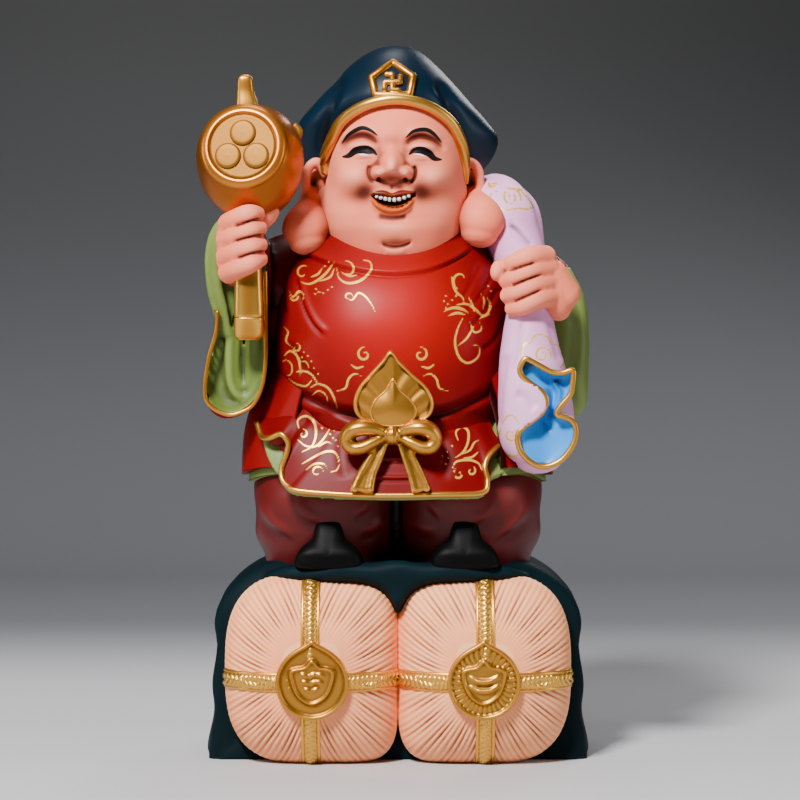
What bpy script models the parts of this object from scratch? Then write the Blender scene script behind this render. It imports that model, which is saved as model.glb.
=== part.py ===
"""Daikoku standing on two rice bales, cast in one piece and painted.

The figure faces -Y and stands on z = 0. Every form is drawn in shares of the height,
one share being a millimetre at the nominal height, and the forms are fused into one solid.
"""

import math

import bmesh
import bpy
import numpy as np

HEIGHT = 0.320  # from the underside of the bales to the crown of the cap
SHARES = 320.0
SHARE = HEIGHT / SHARES

BALE_HALF_WIDTH = 38.6
BALE_HALF_HEIGHT = 42.5
BALE_FRONT = -51.0
BALE_SHOULDER = -27.0
BALE_BACK = 20.0
BALE_SINK = 1.0  # how far each bale dips below the ground, where it is trimmed flat
BALE_POWER = 2.9
BALE_PRESSED = 5.0  # squarer on the side where the two bales press together

MEDAL_RADIUS = 15.6
MEDAL_THICKNESS = 3.4
MEDAL_SHIELD = 0.62  # the raised shield inside a medal, as a share of its radius
ROPE_HALF_WIDTH = 4.4
ROPE_RISE = 1.5

CLOTH_BESIDE = 6.7  # how far the cloth stands out past the bales on each side
CLOTH_ABOVE = 6.0  # and over their tops
DRAPE_HALF_WIDTH = 2 * BALE_HALF_WIDTH - 0.4 + CLOTH_BESIDE
DRAPE_TOP = 2 * BALE_HALF_HEIGHT - BALE_SINK + CLOTH_ABOVE
DRAPE_BACK = 57.0
DRAPE_FRONT = -24.0

MALLET_CENTRE = (-65.0, -34.0, 267.0)
MALLET_RADIUS = 23.7
MALLET_DISC = 15.2
MALLET_HANDLE_HALF = 5.6

CAP_CREST = SHARES
TRIM_DEPTH = 30.0
SPARE_ANGLE = 8.5  # faces that meet within this many degrees are merged

RED = (0.48, 0.03, 0.03, 1.0)


# Small tools for curves and skins

def eased_rows(rows, count):
    """Rows of numbers, read as a smooth curve through them at an even pace."""
    rows = np.asarray(rows, float)
    place = np.linspace(0.0, len(rows) - 1.0, count)
    first = np.clip(place.astype(int), 0, len(rows) - 2)
    part = (place - first)[:, None]
    before = rows[np.clip(first - 1, 0, None)]
    here = rows[first]
    after = rows[first + 1]
    beyond = rows[np.clip(first + 2, None, len(rows) - 1)]
    slope_here = 0.5 * (after - before)
    slope_after = 0.5 * (beyond - here)
    square, cube = part**2, part**3
    return (
        (2 * cube - 3 * square + 1) * here
        + (cube - 2 * square + part) * slope_here
        + (3 * square - 2 * cube) * after
        + (cube - square) * slope_after
    )


def closed_curve(points, count):
    """Points read from a smooth closed curve through a few points."""
    points = [tuple(p) for p in points]
    looped = points[-1:] + points + points[:2]
    steps = (len(looped) - 1) * 24 + 1
    dense = eased_rows(looped, steps)[24:-24]
    length = np.concatenate([[0.0], np.cumsum(np.linalg.norm(np.diff(dense, axis=0), axis=1))])
    wanted = np.linspace(0.0, length[-1], count, endpoint=False)
    return np.stack([np.interp(wanted, length, dense[:, k]) for k in range(dense.shape[1])], 1)


def power_of(value, power):
    return np.sign(value) * np.abs(value) ** (2.0 / power)


def bump(x, z, at_x, at_z, wide, tall, rise):
    return rise * np.exp(-(((x - at_x) / wide) ** 2) - ((z - at_z) / tall) ** 2)


def step(value, low, high):
    part = np.clip((value - low) / (high - low), 0.0, 1.0)
    return part * part * (3.0 - 2.0 * part)


def fused_form(name, points, faces):
    """A closed helper form, which the finished figure is fused from."""
    points = np.asarray(points, float) * SHARE
    mesh = bpy.data.meshes.new(name)
    mesh.from_pydata(points.tolist(), [], faces)
    work = bmesh.new()
    work.from_mesh(mesh)
    bmesh.ops.recalc_face_normals(work, faces=work.faces)
    if work.calc_volume(signed=True) < 0:
        bmesh.ops.reverse_faces(work, faces=work.faces)
    work.to_mesh(mesh)
    work.free()
    form = bpy.data.objects.new(name, mesh)
    form.hide_render = True
    form.display_type = "WIRE"
    forms.objects.link(form)
    return form


def skin(name, rings, start=None, end=None):
    """A closed skin over rings of equal count, drawn in to a point at each end, or flat ended."""
    rings = np.asarray(rings, float)
    count, around = rings.shape[:2]
    ends = [] if start is None else [start, end]
    points = rings.reshape(-1, 3).tolist() + [tuple(p) for p in ends]
    first, last = count * around, count * around + 1
    faces = []
    for i in range(count - 1):
        for j in range(around):
            k = (j + 1) % around
            faces.append((i * around + j, i * around + k, (i + 1) * around + k, (i + 1) * around + j))
    if not ends:
        faces.append(tuple(range(around - 1, -1, -1)))
        faces.append(tuple(range((count - 1) * around, count * around)))
        return fused_form(name, points, faces)
    for j in range(around):
        k = (j + 1) % around
        faces.append((first, k, j))
        faces.append((last, (count - 1) * around + j, (count - 1) * around + k))
    return fused_form(name, points, faces)


def angles_from_front(count, focus):
    """Angles round the figure, closest together at the front; focus 1 is even."""
    place = (np.arange(count) + 0.5) / count * 2.0 - 1.0
    return math.pi * place * ((1.0 / focus) + (1.0 - 1.0 / focus) * place**2)


def standing_rings(rows, levels, around, focus=1.0, power=2.0):
    """Level rings up a body. A row is height, middle x, widest y, half width, front y, back y."""
    angle = angles_from_front(around, focus)
    side, ahead = power_of(np.sin(angle), power), power_of(np.cos(angle), power)
    rings = []
    for z, middle, widest, half, front, back in eased_rows(rows, levels):
        x = middle + half * side
        y = np.where(ahead > 0, widest - (widest - front) * ahead, widest - (back - widest) * ahead)
        rings.append(np.stack([x, y, np.full(around, z)], 1))
    return np.array(rings)


def capped(rings):
    return rings[0].mean(axis=0), rings[-1].mean(axis=0)


def ellipsoid(name, centre, radii, around=16, levels=9, lean=0.0):
    """An egg; lean turns it about the y axis, in degrees."""
    tilt = math.radians(lean)
    rings = []
    for i in range(1, levels):
        polar = math.pi * i / levels
        turn = np.arange(around) / around * 2 * math.pi
        x = radii[0] * math.sin(polar) * np.cos(turn)
        y = radii[1] * math.sin(polar) * np.sin(turn)
        z = np.full(around, radii[2] * math.cos(polar))
        rings.append(np.stack([x, y, z], 1))
    ends = np.array([[0, 0, radii[2]], [0, 0, -radii[2]]], float)

    def placed(p):
        x = p[..., 0] * math.cos(tilt) + p[..., 2] * math.sin(tilt)
        z = -p[..., 0] * math.sin(tilt) + p[..., 2] * math.cos(tilt)
        return np.stack([x, p[..., 1], z], -1) + np.array(centre)

    ends = placed(ends)
    return skin(name, placed(np.array(rings)), ends[0], ends[1])


def tube(name, rows, sides=8, steps=8, flat=1.0, round_ends=True):
    """A swept tube. A row is x, y, z and radius; flat squeezes it front to back."""
    rows = eased_rows(rows, steps)
    path, radii = rows[:, :3], rows[:, 3]
    along = np.gradient(path, axis=0)
    along /= np.linalg.norm(along, axis=1)[:, None]
    up = np.array([0.0, 1.0, 0.0]) if abs(along[0][1]) < 0.8 else np.array([0.0, 0.0, 1.0])
    turn = np.arange(sides) / sides * 2 * math.pi
    rings, normal = [], up
    for here, ahead, radius in zip(path, along, radii):
        normal = normal - ahead * (normal @ ahead)
        normal /= np.linalg.norm(normal)
        beside = np.cross(ahead, normal)
        ring = here + radius * (
            flat * np.cos(turn)[:, None] * normal + np.sin(turn)[:, None] * beside
        )
        rings.append(ring)
    reach = 0.7 if round_ends else 0.0
    start, end = path[0] - along[0] * radii[0] * reach, path[-1] + along[-1] * radii[-1] * reach
    return skin(name, rings, start, end)


def stacked(name, outline, layers, centre):
    """An outline in the front plane, stacked from back to front. A layer is size and y."""
    outline = np.asarray(outline, float)
    rings = []
    for size, y in layers:
        x = centre[0] + (outline[:, 0] - centre[0]) * size
        z = centre[1] + (outline[:, 1] - centre[1]) * size
        rings.append(np.stack([x, np.full(len(x), y), z], 1))
    start = (centre[0], layers[0][1], centre[1])
    end = (centre[0], layers[-1][1], centre[1])
    return skin(name, rings, start, end)


def prism(name, outline, back, front):
    """A flat plate with the given outline in the front plane."""
    count = len(outline)
    points = [(x, y, z) for y in (front, back) for x, z in outline]
    faces = [tuple(range(count)), tuple(range(2 * count - 1, count - 1, -1))]
    faces += [(k, (k + 1) % count, count + (k + 1) % count, count + k) for k in range(count)]
    return fused_form(name, points, faces)


def sheet(name, rails, thickness, across=5, along=12):
    """A cloth with thickness, stretched over a few rails that run the same way."""
    rails = np.array([eased_rows(rail, along) for rail in rails])
    grid = eased_rows(rails.reshape(len(rails), -1), across).reshape(across, along, 3)
    run, rise = np.gradient(grid, axis=1), np.gradient(grid, axis=0)
    normal = np.cross(run, rise)
    normal /= np.linalg.norm(normal, axis=2)[..., None]
    both = np.concatenate([grid.reshape(-1, 3), (grid + normal * thickness).reshape(-1, 3)])
    size = across * along
    faces = []
    for i in range(across - 1):
        for j in range(along - 1):
            a, b = i * along + j, (i + 1) * along + j
            faces.append((a, a + 1, b + 1, b))
            faces.append((size + a, size + b, size + b + 1, size + a + 1))
    edge = [j for j in range(along)]
    edge += [i * along + along - 1 for i in range(1, across)]
    edge += [(across - 1) * along + j for j in range(along - 2, -1, -1)]
    edge += [i * along for i in range(across - 2, 0, -1)]
    for a, b in zip(edge, edge[1:] + edge[:1]):
        faces.append((a, b, size + b, size + a))
    return fused_form(name, both, faces)


# The plinth: two rice bales under a cloth

def bale_power(x):
    """How square a bale's outline is at a distance across the front."""
    return np.where(np.abs(x) < bale_spacing, BALE_PRESSED, BALE_POWER)


def bale_surface(x, z, middle):
    """The y of a bale's domed end at a point of the front plane."""
    sharp = bale_power(x)
    across = np.abs((x - middle) / BALE_HALF_WIDTH) ** sharp
    upward = np.abs((z - bale_middle_height) / BALE_HALF_HEIGHT) ** sharp
    reach = np.clip((across + upward) ** (1.0 / sharp), 0.0, 0.999)
    return BALE_SHOULDER + (BALE_FRONT - BALE_SHOULDER) * (1.0 - reach**2.6) ** 0.55


def bale(name, middle):
    around, rings = 20, []
    turn = np.arange(around) / around * 2 * math.pi
    sharp = bale_power(middle + np.cos(turn))
    outline_x = middle + BALE_HALF_WIDTH * power_of(np.cos(turn), sharp)
    outline_z = bale_middle_height + BALE_HALF_HEIGHT * power_of(np.sin(turn), sharp)
    for size in (0.4, 0.68, 0.87, 0.98):
        x = middle + (outline_x - middle) * size
        z = bale_middle_height + (outline_z - bale_middle_height) * size
        rings.append(np.stack([x, bale_surface(x, z, middle), z], 1))
    for y in (BALE_SHOULDER + 4.0, BALE_BACK):
        rings.append(np.stack([outline_x, np.full(around, y), outline_z], 1))
    start = (middle, BALE_FRONT, bale_middle_height)
    return skin(name, rings, start, (middle, BALE_BACK, bale_middle_height))


def bale_rope(name, middle, upright):
    """A flat plaited rope across a bale's end, from edge to edge."""
    rows = []
    reach = (BALE_HALF_HEIGHT if upright else BALE_HALF_WIDTH) * 0.99
    for share in np.linspace(-1.0, 1.0, 7):
        x = middle if upright else middle + share * reach
        z = bale_middle_height + share * reach if upright else medal_height
        y = float(bale_surface(np.array(x), np.array(z), middle)) - ROPE_RISE * 0.35
        rows.append((x, y, z, ROPE_HALF_WIDTH))
    return tube(name, rows, sides=6, steps=7, flat=0.45, round_ends=False)


def medal_outline(middle, radius, tip, count):
    """A round jewel outline drawn up to a point at the top."""
    turn = np.arange(count) / count * 2 * math.pi
    from_top = np.abs((turn + math.pi) % (2 * math.pi) - math.pi)
    reach = radius + (tip - radius) * np.exp(-from_top / 0.22) * (1.0 - from_top / math.pi)
    return np.stack([middle + reach * np.sin(turn), medal_height + reach * np.cos(turn)], 1)


def medal(name, middle):
    back = BALE_FRONT + 6.0
    front = BALE_FRONT - MEDAL_THICKNESS
    centre = (middle, medal_height)
    outline = medal_outline(middle, MEDAL_RADIUS, MEDAL_RADIUS * 1.22, 20)
    rim = [(1.0, back), (1.0, front + 0.6), (0.94, front), (0.86, front + 1.2)]
    stacked(name + "_rim", outline, rim, centre)
    shield = medal_outline(middle, MEDAL_RADIUS * MEDAL_SHIELD, MEDAL_RADIUS * 0.78, 12)
    layers = [(1.0, back), (1.0, front + 0.3), (0.7, front - 0.5)]
    stacked(name + "_shield", shield, layers, centre)


def drape():
    """The cloth over the bales, which carries the figure: an arch drawn front to back."""
    half, top = DRAPE_HALF_WIDTH, DRAPE_TOP
    side = [
        (half * 1.028, -4.0), (half * 1.024, 6.0), (half * 0.992, 20.0), (half * 1.0, 34.0),
        (half * 0.972, 50.0), (half * 0.985, 62.0), (half * 0.93, 74.0), (half * 0.80, 83.5),
        (half * 0.64, top - 1.2), (half * 0.42, top), (half * 0.2, top - 0.4),
    ]
    outline = side + [(0.0, top - 1.0)] + [(-x, z) for x, z in reversed(side)]
    layers = [
        (0.93, 0.94, DRAPE_FRONT), (0.985, 0.985, DRAPE_FRONT + 4.0), (1.0, 1.0, DRAPE_FRONT + 12.0),
        (1.0, 1.0, DRAPE_BACK - 22.0), (0.985, 0.985, DRAPE_BACK - 8.0), (0.93, 0.94, DRAPE_BACK - 1.5),
        (0.80, 0.84, DRAPE_BACK),
    ]
    rings = []
    for wide, tall, y in layers:
        ring = [(x * wide, y, z * tall if z > 0 else z) for x, z in outline]
        rings.append(ring)
    start = (0.0, DRAPE_FRONT, DRAPE_TOP * 0.4)
    skin("drape", rings, start, (0.0, DRAPE_BACK, DRAPE_TOP * 0.4))


def bale_top(x):
    """The height of the nearer bale's top over a point across the front."""
    away = min(abs(abs(x) - bale_spacing) / BALE_HALF_WIDTH, 0.96)
    sharp = float(bale_power(x))
    return bale_middle_height + BALE_HALF_HEIGHT * (1.0 - away**sharp) ** (1.0 / sharp)


def drape_roof():
    """The cloth where it lies forward over the tops of both bales, under the shoes."""
    reach = bale_spacing + BALE_HALF_WIDTH * 0.52
    rings = []
    for y, drop, under in ((-12.0, 2.0, 6.0), (-33.0, 0.6, 6.0), (-38.5, 0.0, 3.0), (-42.0, 2.4, 1.0)):
        ring = []
        for x in np.linspace(-reach, reach, 15):
            ring.append((x, y * (1.0 - 0.35 * abs(x / reach) ** 5), bale_top(x) - under))
        for x in np.linspace(reach, -reach, 15):
            fall = CLOTH_ABOVE * 2.5 * abs(x / (DRAPE_HALF_WIDTH * 0.84)) ** 4.5
            top = max(DRAPE_TOP - 0.4 - drop - fall, bale_top(x) + 0.8)
            ring.append((x, y * (1.0 - 0.35 * abs(x / reach) ** 5), top))
        rings.append(ring)
    skin("drape_roof", rings)


def plinth():
    drape()
    drape_roof()
    for side, middle in (("left", -bale_spacing), ("right", bale_spacing)):
        bale(side + "_bale", middle)
        bale_rope(side + "_rope_upright", middle, True)
        bale_rope(side + "_rope_level", middle, False)
        medal(side + "_medal", middle)


# Trousers and shoes

def trousers():
    for side in (-1, 1):
        rows = [
            (DRAPE_TOP - 6.0, side * 30.0, 0.0, 29.5, -24.0, 27.0),
            (DRAPE_TOP + 3.0, side * 30.4, 0.0, 31.6, -29.5, 32.0),
            (DRAPE_TOP + 14.0, side * 31.0, 0.0, 33.4, -34.5, 36.0),
            (DRAPE_TOP + 27.0, side * 31.2, 0.0, 34.0, -38.0, 37.0),
            (DRAPE_TOP + 40.0, side * 28.0, 0.0, 34.0, -34.0, 36.0),
            (DRAPE_TOP + 52.0, side * 24.0, 0.0, 28.0, -26.0, 30.0),
        ]
        rings = standing_rings(rows, 7, 16, focus=1.3)
        ahead = step(-rings[..., 1], 5.0, 30.0)
        fold = np.cos((rings[..., 0] * side - 30.0) * 0.42 + (rings[..., 2] - 100.0) * 0.05)
        rings[..., 1] -= 1.1 * ahead * fold * (rings[..., 2] < 130.0)
        skin("trouser_" + ("right" if side > 0 else "left"), rings, *capped(rings))


def shoes():
    """Black clogs whose soles turn up to a half disc at the toe."""
    for side, middle in (("left", -30.6), ("right", 29.6)):
        floor = DRAPE_TOP - 7.0
        arch = np.linspace(0.0, math.pi, 8)
        rings = []
        for y, wide, tall in (
            (-41.4, 13.4, 18.2), (-40.6, 14.3, 19.0), (-38.6, 14.2, 18.8), (-37.8, 12.2, 17.8),
            (-37.0, 9.4, 20.6), (-35.6, 7.4, 24.6), (-30.0, 6.4, 26.0), (-12.0, 6.0, 25.0),
        ):
            ring = [(middle + wide * math.cos(a), y, floor + tall * math.sin(a) ** 0.85) for a in arch]
            rings.append(ring)
        skin("shoe_" + side, rings, (middle, -41.7, floor + 7.0), (middle, -12.0, floor + 8.0))


# The robe

def body():
    rows = [
        (108.0, -1.0, 0.0, 44.0, -32.0, 33.0),
        (120.0, -1.0, 0.0, 47.0, -43.0, 37.0),
        (134.0, -1.5, 0.0, 49.0, -44.5, 38.0),
        (146.0, -2.0, 0.0, 50.0, -43.0, 38.0),
        (153.0, -2.0, 0.0, 51.0, -43.5, 38.5),
        (160.0, -2.3, 0.0, 52.5, -48.0, 39.0),
        (175.0, -2.6, 0.0, 53.5, -51.2, 40.0),
        (190.0, -2.6, 0.0, 53.5, -51.2, 41.0),
        (203.0, -2.2, 0.0, 52.5, -48.0, 41.0),
        (214.0, -2.0, 0.0, 50.0, -42.5, 39.0),
        (223.0, -2.0, 1.0, 45.5, -35.5, 35.0),
        (230.0, -1.5, 2.0, 41.0, -29.5, 31.0),
        (235.5, -1.0, 3.0, 33.5, -24.0, 26.0),
    ]
    rings = standing_rings(rows, 15, 22, focus=1.5, power=2.25)
    x, y, z = rings[..., 0], rings[..., 1], rings[..., 2]
    front = step(-y, 4.0, 24.0)
    belly_line = 152.0 + 0.0068 * (x + 2.0) ** 2
    tuck = np.exp(-(((z - belly_line) / 3.4) ** 2))
    chest = np.exp(-((((x + 38.0) * 0.72 + (z - 205.0) * 0.69) / 2.6) ** 2)) * step(-x, 24.0, 34.0)
    rings[..., 1] += front * (2.8 * tuck + 1.6 * chest * step(z, 192.0, 202.0))
    skin("body", rings, *capped(rings))
    neck = standing_rings(
        [(226.0, -1.0, 2.0, 37.0, -30.5, 28.0), (230.5, -1.0, 2.0, 35.5, -29.0, 27.0),
         (233.5, -1.0, 3.0, 31.0, -25.0, 24.0)], 3, 22, focus=1.3, power=2.2)
    skin("collar", neck, *capped(neck))


def skirt():
    """The robe's skirt: a front panel with turned edges, its lining and a back panel."""
    hem = [
        (-62.6, -24.0, 150.1), (-60.1, -30.0, 144.1), (-56.3, -36.0, 143.7), (-51.3, -39.5, 145.4),
        (-48.2, -40.5, 141.9), (-48.6, -41.0, 137.5), (-50.8, -41.5, 131.0), (-50.7, -43.0, 126.2),
        (-48.0, -45.5, 122.9), (-43.1, -48.5, 121.1), (-23.0, -51.8, 119.7), (-2.2, -52.6, 119.3),
        (18.2, -51.8, 119.7), (36.2, -47.5, 120.1), (39.1, -45.0, 125.0), (38.0, -43.5, 131.5),
        (40.6, -40.0, 137.0), (46.4, -31.0, 141.1),
    ]
    middle = [
        (-59.3, -20.0, 156.7), (-53.6, -28.0, 154.2), (-48.9, -34.0, 152.6), (-46.2, -36.0, 151.8),
        (-43.9, -38.0, 148.4), (-43.0, -39.0, 144.0), (-42.1, -41.0, 139.7), (-40.7, -42.5, 136.3),
        (-38.0, -44.0, 134.1), (-34.0, -45.5, 133.3), (-20.0, -47.5, 133.0), (-2.2, -48.6, 132.6),
        (15.7, -47.5, 133.0), (29.7, -45.0, 133.8), (32.8, -43.0, 135.4), (34.6, -40.0, 138.8),
        (37.4, -36.0, 143.9), (42.1, -28.0, 147.1),
    ]
    waist = [
        (-52.8, -14.0, 162.3), (-47.1, -24.0, 159.4), (-43.3, -30.0, 157.8), (-40.6, -33.0, 156.1),
        (-37.8, -35.0, 153.6), (-35.6, -36.5, 151.4), (-33.4, -37.5, 149.7), (-31.2, -38.5, 148.4),
        (-28.5, -39.5, 147.5), (-24.5, -40.5, 147.1), (-14.0, -42.0, 146.8), (-2.2, -42.6, 146.3),
        (9.6, -42.0, 146.8), (20.6, -39.5, 147.5), (25.0, -37.5, 148.8), (28.2, -34.5, 150.9),
        (31.8, -29.0, 155.1), (37.4, -22.0, 159.4),
    ]
    sheet("skirt_front", [hem, middle, waist], -5.0, across=3, along=20)
    left = [
        [(-60.5, -27.0, 146.5), (-57.0, -30.0, 135.0), (-51.5, -34.0, 126.0), (-43.0, -40.0, 121.8)],
        [(-54.0, -27.0, 148.5), (-49.5, -30.0, 139.0), (-46.0, -33.0, 130.0), (-40.0, -38.0, 124.0)],
        [(-47.0, -20.0, 150.0), (-43.0, -22.0, 141.0), (-40.0, -24.0, 132.0), (-36.0, -30.0, 127.0)],
    ]
    sheet("lining_left", left, 4.0, across=2, along=4)
    right = [
        [(58.0, -22.0, 142.0), (52.0, -28.0, 132.5), (46.0, -33.0, 127.0), (38.0, -40.0, 123.5)],
        [(50.0, -24.0, 147.0), (46.0, -28.0, 138.0), (42.0, -32.0, 131.0), (36.0, -37.0, 126.0)],
        [(44.0, -18.0, 150.0), (41.0, -21.0, 141.0), (38.0, -24.0, 134.0), (33.0, -30.0, 129.0)],
    ]
    sheet("lining_right", right, -4.0, across=2, along=4)
    angle = np.radians(np.linspace(-138.0, 138.0, 21))
    ripple = 1.4 * np.sin(angle * 6.0)
    rails = []
    for z, half, deep in ((126.0, 65.0, 46.0), (147.0, 64.0, 44.0), (168.0, 57.0, 38.0), (184.0, 49.0, 32.0)):
        fade = max(0.0, (168.0 - z) / 42.0)
        x = (half + ripple * fade) * np.sin(angle)
        y = (deep + ripple * fade) * np.cos(angle)
        lift = 4.5 * step(np.abs(angle), math.radians(92), math.radians(125)) * fade
        rails.append(np.stack([x, y, z + lift], 1))
    sheet("skirt_back", rails, -6.0, across=3, along=21)


def ornament():
    """The gilt peach, its bow and the two ribbon ends."""
    centre = (-3.0, 163.5)
    outline = closed_curve(
        [(-3.0, 182.6), (3.6, 176.0), (10.2, 169.6), (13.6, 162.0), (12.4, 155.6), (6.6, 150.8),
         (-3.0, 149.6), (-12.6, 150.8), (-18.4, 155.6), (-19.6, 162.0), (-16.2, 169.6), (-9.6, 176.0)], 18)
    layers = [(0.9, -44.0), (1.0, -49.0), (1.0, -53.2), (0.94, -54.4), (0.86, -53.8), (0.62, -54.6)]
    stacked("peach", outline, layers, centre)
    heart = [(-3.0 + (x + 3.0) * 0.56, 161.0 + (z - 163.5) * 0.60) for x, z in outline]
    stacked("peach_heart", heart, [(1.0, -50.0), (1.0, -55.0), (0.9, -56.2), (0.5, -57.4)], (-3.0, 160.5))
    for side, name in ((-1, "left"), (1, "right")):
        middle = -4.2
        loop = [
            (middle + side * 3.5, -53.0, 147.6, 1.9), (middle + side * 9.5, -54.0, 150.6, 2.4),
            (middle + side * 15.6, -53.5, 149.0, 2.7), (middle + side * 19.3, -52.0, 144.4, 2.6),
            (middle + side * 17.0, -51.6, 140.4, 2.4), (middle + side * 11.5, -53.0, 141.8, 2.2),
            (middle + side * 6.0, -53.0, 144.4, 1.9), (middle + side * 2.5, -53.0, 145.4, 1.8),
        ]
        tube("bow_" + name, loop, sides=6, steps=12, flat=1.35)
        shift = side * 8.6
        rail = [
            [(middle + side * 0.6, -51.2, 144.0), (middle + shift * 0.75, -52.6, 133.0),
             (middle + shift * 1.25, -54.8, 120.6)],
            [(middle + side * 5.0, -51.2, 144.0), (middle + shift * 1.35 + side * 1.2, -52.6, 133.0),
             (middle + shift * 1.25 + side * 7.2, -53.8, 120.8)],
        ]
        sheet("ribbon_" + name, rail, 4.5 * side, across=2, along=6)
    ellipsoid("bow_knot", (-4.2, -53.2, 146.3), (4.2, 4.2, 4.4), around=8, levels=5)


def arms():
    left = [(-34.0, 6.0, 216.0, 16.0), (-48.0, 6.0, 217.0, 18.0), (-60.0, 2.0, 206.0, 20.0),
            (-66.0, -6.0, 198.0, 16.0), (-72.0, -20.0, 208.0, 12.0), (-73.0, -33.0, 223.0, 9.5)]
    tube("arm_left", left, sides=12, steps=11)
    for side, name in ((-1, "left"), (1, "right")):
        hang = [(side * 57.0, 6.0, 202.0, 14.0), (side * 59.0, 7.0, 176.0, 11.5), (side * 59.0, 7.0, 152.0, 8.0)]
        tube("side_" + name, hang, sides=10, steps=4)
    right = [(34.0, 7.0, 220.0, 15.0), (52.0, 7.0, 212.0, 20.0), (64.0, 5.0, 194.0, 19.0),
             (72.0, -6.0, 188.0, 14.0), (73.0, -20.0, 200.0, 11.5), (70.0, -30.0, 208.0, 9.5)]
    tube("arm_right", right, sides=12, steps=11)
    left_rim = closed_curve(
        [(-74.0, 241.0), (-80.0, 234.0), (-83.6, 222.0), (-83.2, 208.0), (-80.6, 195.5), (-83.4, 182.0),
         (-86.0, 168.0), (-84.2, 157.6), (-77.5, 152.2), (-68.0, 154.6), (-60.6, 163.0), (-58.2, 178.0),
         (-57.4, 200.0), (-56.8, 222.0), (-62.0, 238.0)], 22)
    layers = [
        (0.62, 15.0), (0.86, 9.0), (1.0, -4.0), (1.0, -20.0), (1.0, -31.0), (0.965, -32.0),
        (0.92, -30.6), (0.86, -24.0), (0.78, -20.5), (0.4, -19.5),
    ]
    stacked("sleeve_left", left_rim, layers, (-70.5, 190.0))
    for k, size in enumerate((0.52, 0.27)):
        pleat = []
        for a in np.linspace(-0.15, math.pi + 0.15, 9):
            pleat.append((-66.5 + 17.0 * size * math.cos(a) * 0.92, -22.5 - 2.0 * k,
                          168.0 + 8.0 * k - 17.0 * size * math.sin(a), 2.0))
        pleat = [(pleat[0][0], -22.5, 192.0, 2.0)] + pleat + [(pleat[-1][0], -22.5, 192.0, 2.0)]
        tube(f"sleeve_left_pleat_{k + 1}", pleat, sides=4, steps=8)
    hanging = [
        (151.5, 72.0, 1.0, 7.0, -5.0, 8.0), (157.0, 73.0, 1.0, 11.4, -11.0, 16.0), (172.0, 71.4, 2.0, 14.2, -12.6, 22.0),
        (190.0, 70.0, 4.0, 16.0, -12.0, 25.0), (207.0, 68.4, 6.0, 15.4, -9.0, 25.0), (220.0, 63.0, 8.0, 14.4, -3.0, 23.0),
        (230.0, 57.0, 9.0, 9.0, 2.0, 17.0),
    ]
    rings = standing_rings(hanging, 8, 14, power=2.3)
    skin("sleeve_right", rings, *capped(rings))


# Head and cap

def face_relief(x, z):
    """How far the face stands out from the plain head, towards the front."""
    rise = bump(x, z, -19.0, 256.5, 8.6, 7.4, 4.4) + bump(x, z, 16.6, 256.5, 8.6, 7.4, 4.4)
    rise += bump(x, z, -21.0, 238.5, 9.5, 8.0, 1.8) + bump(x, z, 19.0, 238.5, 9.5, 8.0, 1.8)
    rise -= bump(x, z, -21.0, 247.4, 5.2, 2.8, 2.6) + bump(x, z, 18.5, 247.6, 5.2, 2.8, 2.6)
    rise += bump(x, z, -3.0, 268.5, 3.8, 8.5, 3.0) + bump(x, z, -2.2, 261.2, 5.6, 4.8, 6.6)
    rise += bump(x, z, -10.2, 259.4, 3.6, 3.6, 4.0) + bump(x, z, 6.2, 259.4, 3.6, 3.6, 4.0)
    rise += bump(x, z, -1.4, 253.6, 12.5, 3.4, 2.4)
    smile = 243.6 + 0.036 * (x + 1.2) ** 2
    width = step(14.0 - np.abs(x + 1.2), 0.0, 3.0)
    rise -= 3.0 * np.exp(-(((z - smile - 3.4) / 3.0) ** 2)) * width
    rise += 2.0 * np.exp(-(((z - smile + 1.4) / 2.4) ** 2)) * width
    rise += bump(x, z, -1.0, 236.6, 8.5, 3.4, 2.4) - bump(x, z, -1.0, 232.6, 8.0, 1.3, 1.2)
    for middle in (-18.4, 9.6):
        rise += bump(x, z, middle, 269.6, 7.0, 3.6, 2.2)
        slit = 268.4 - 0.030 * (x - middle) ** 2
        rise -= 1.7 * np.exp(-(((z - slit) / 1.2) ** 2)) * step(8.4 - np.abs(x - middle), 0.0, 2.0)
        ridge = 275.6 - 0.034 * (x - middle) ** 2
        rise += 1.6 * np.exp(-(((z - ridge) / 1.9) ** 2)) * step(10.0 - np.abs(x - middle), 0.0, 3.0)
    return rise


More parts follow.
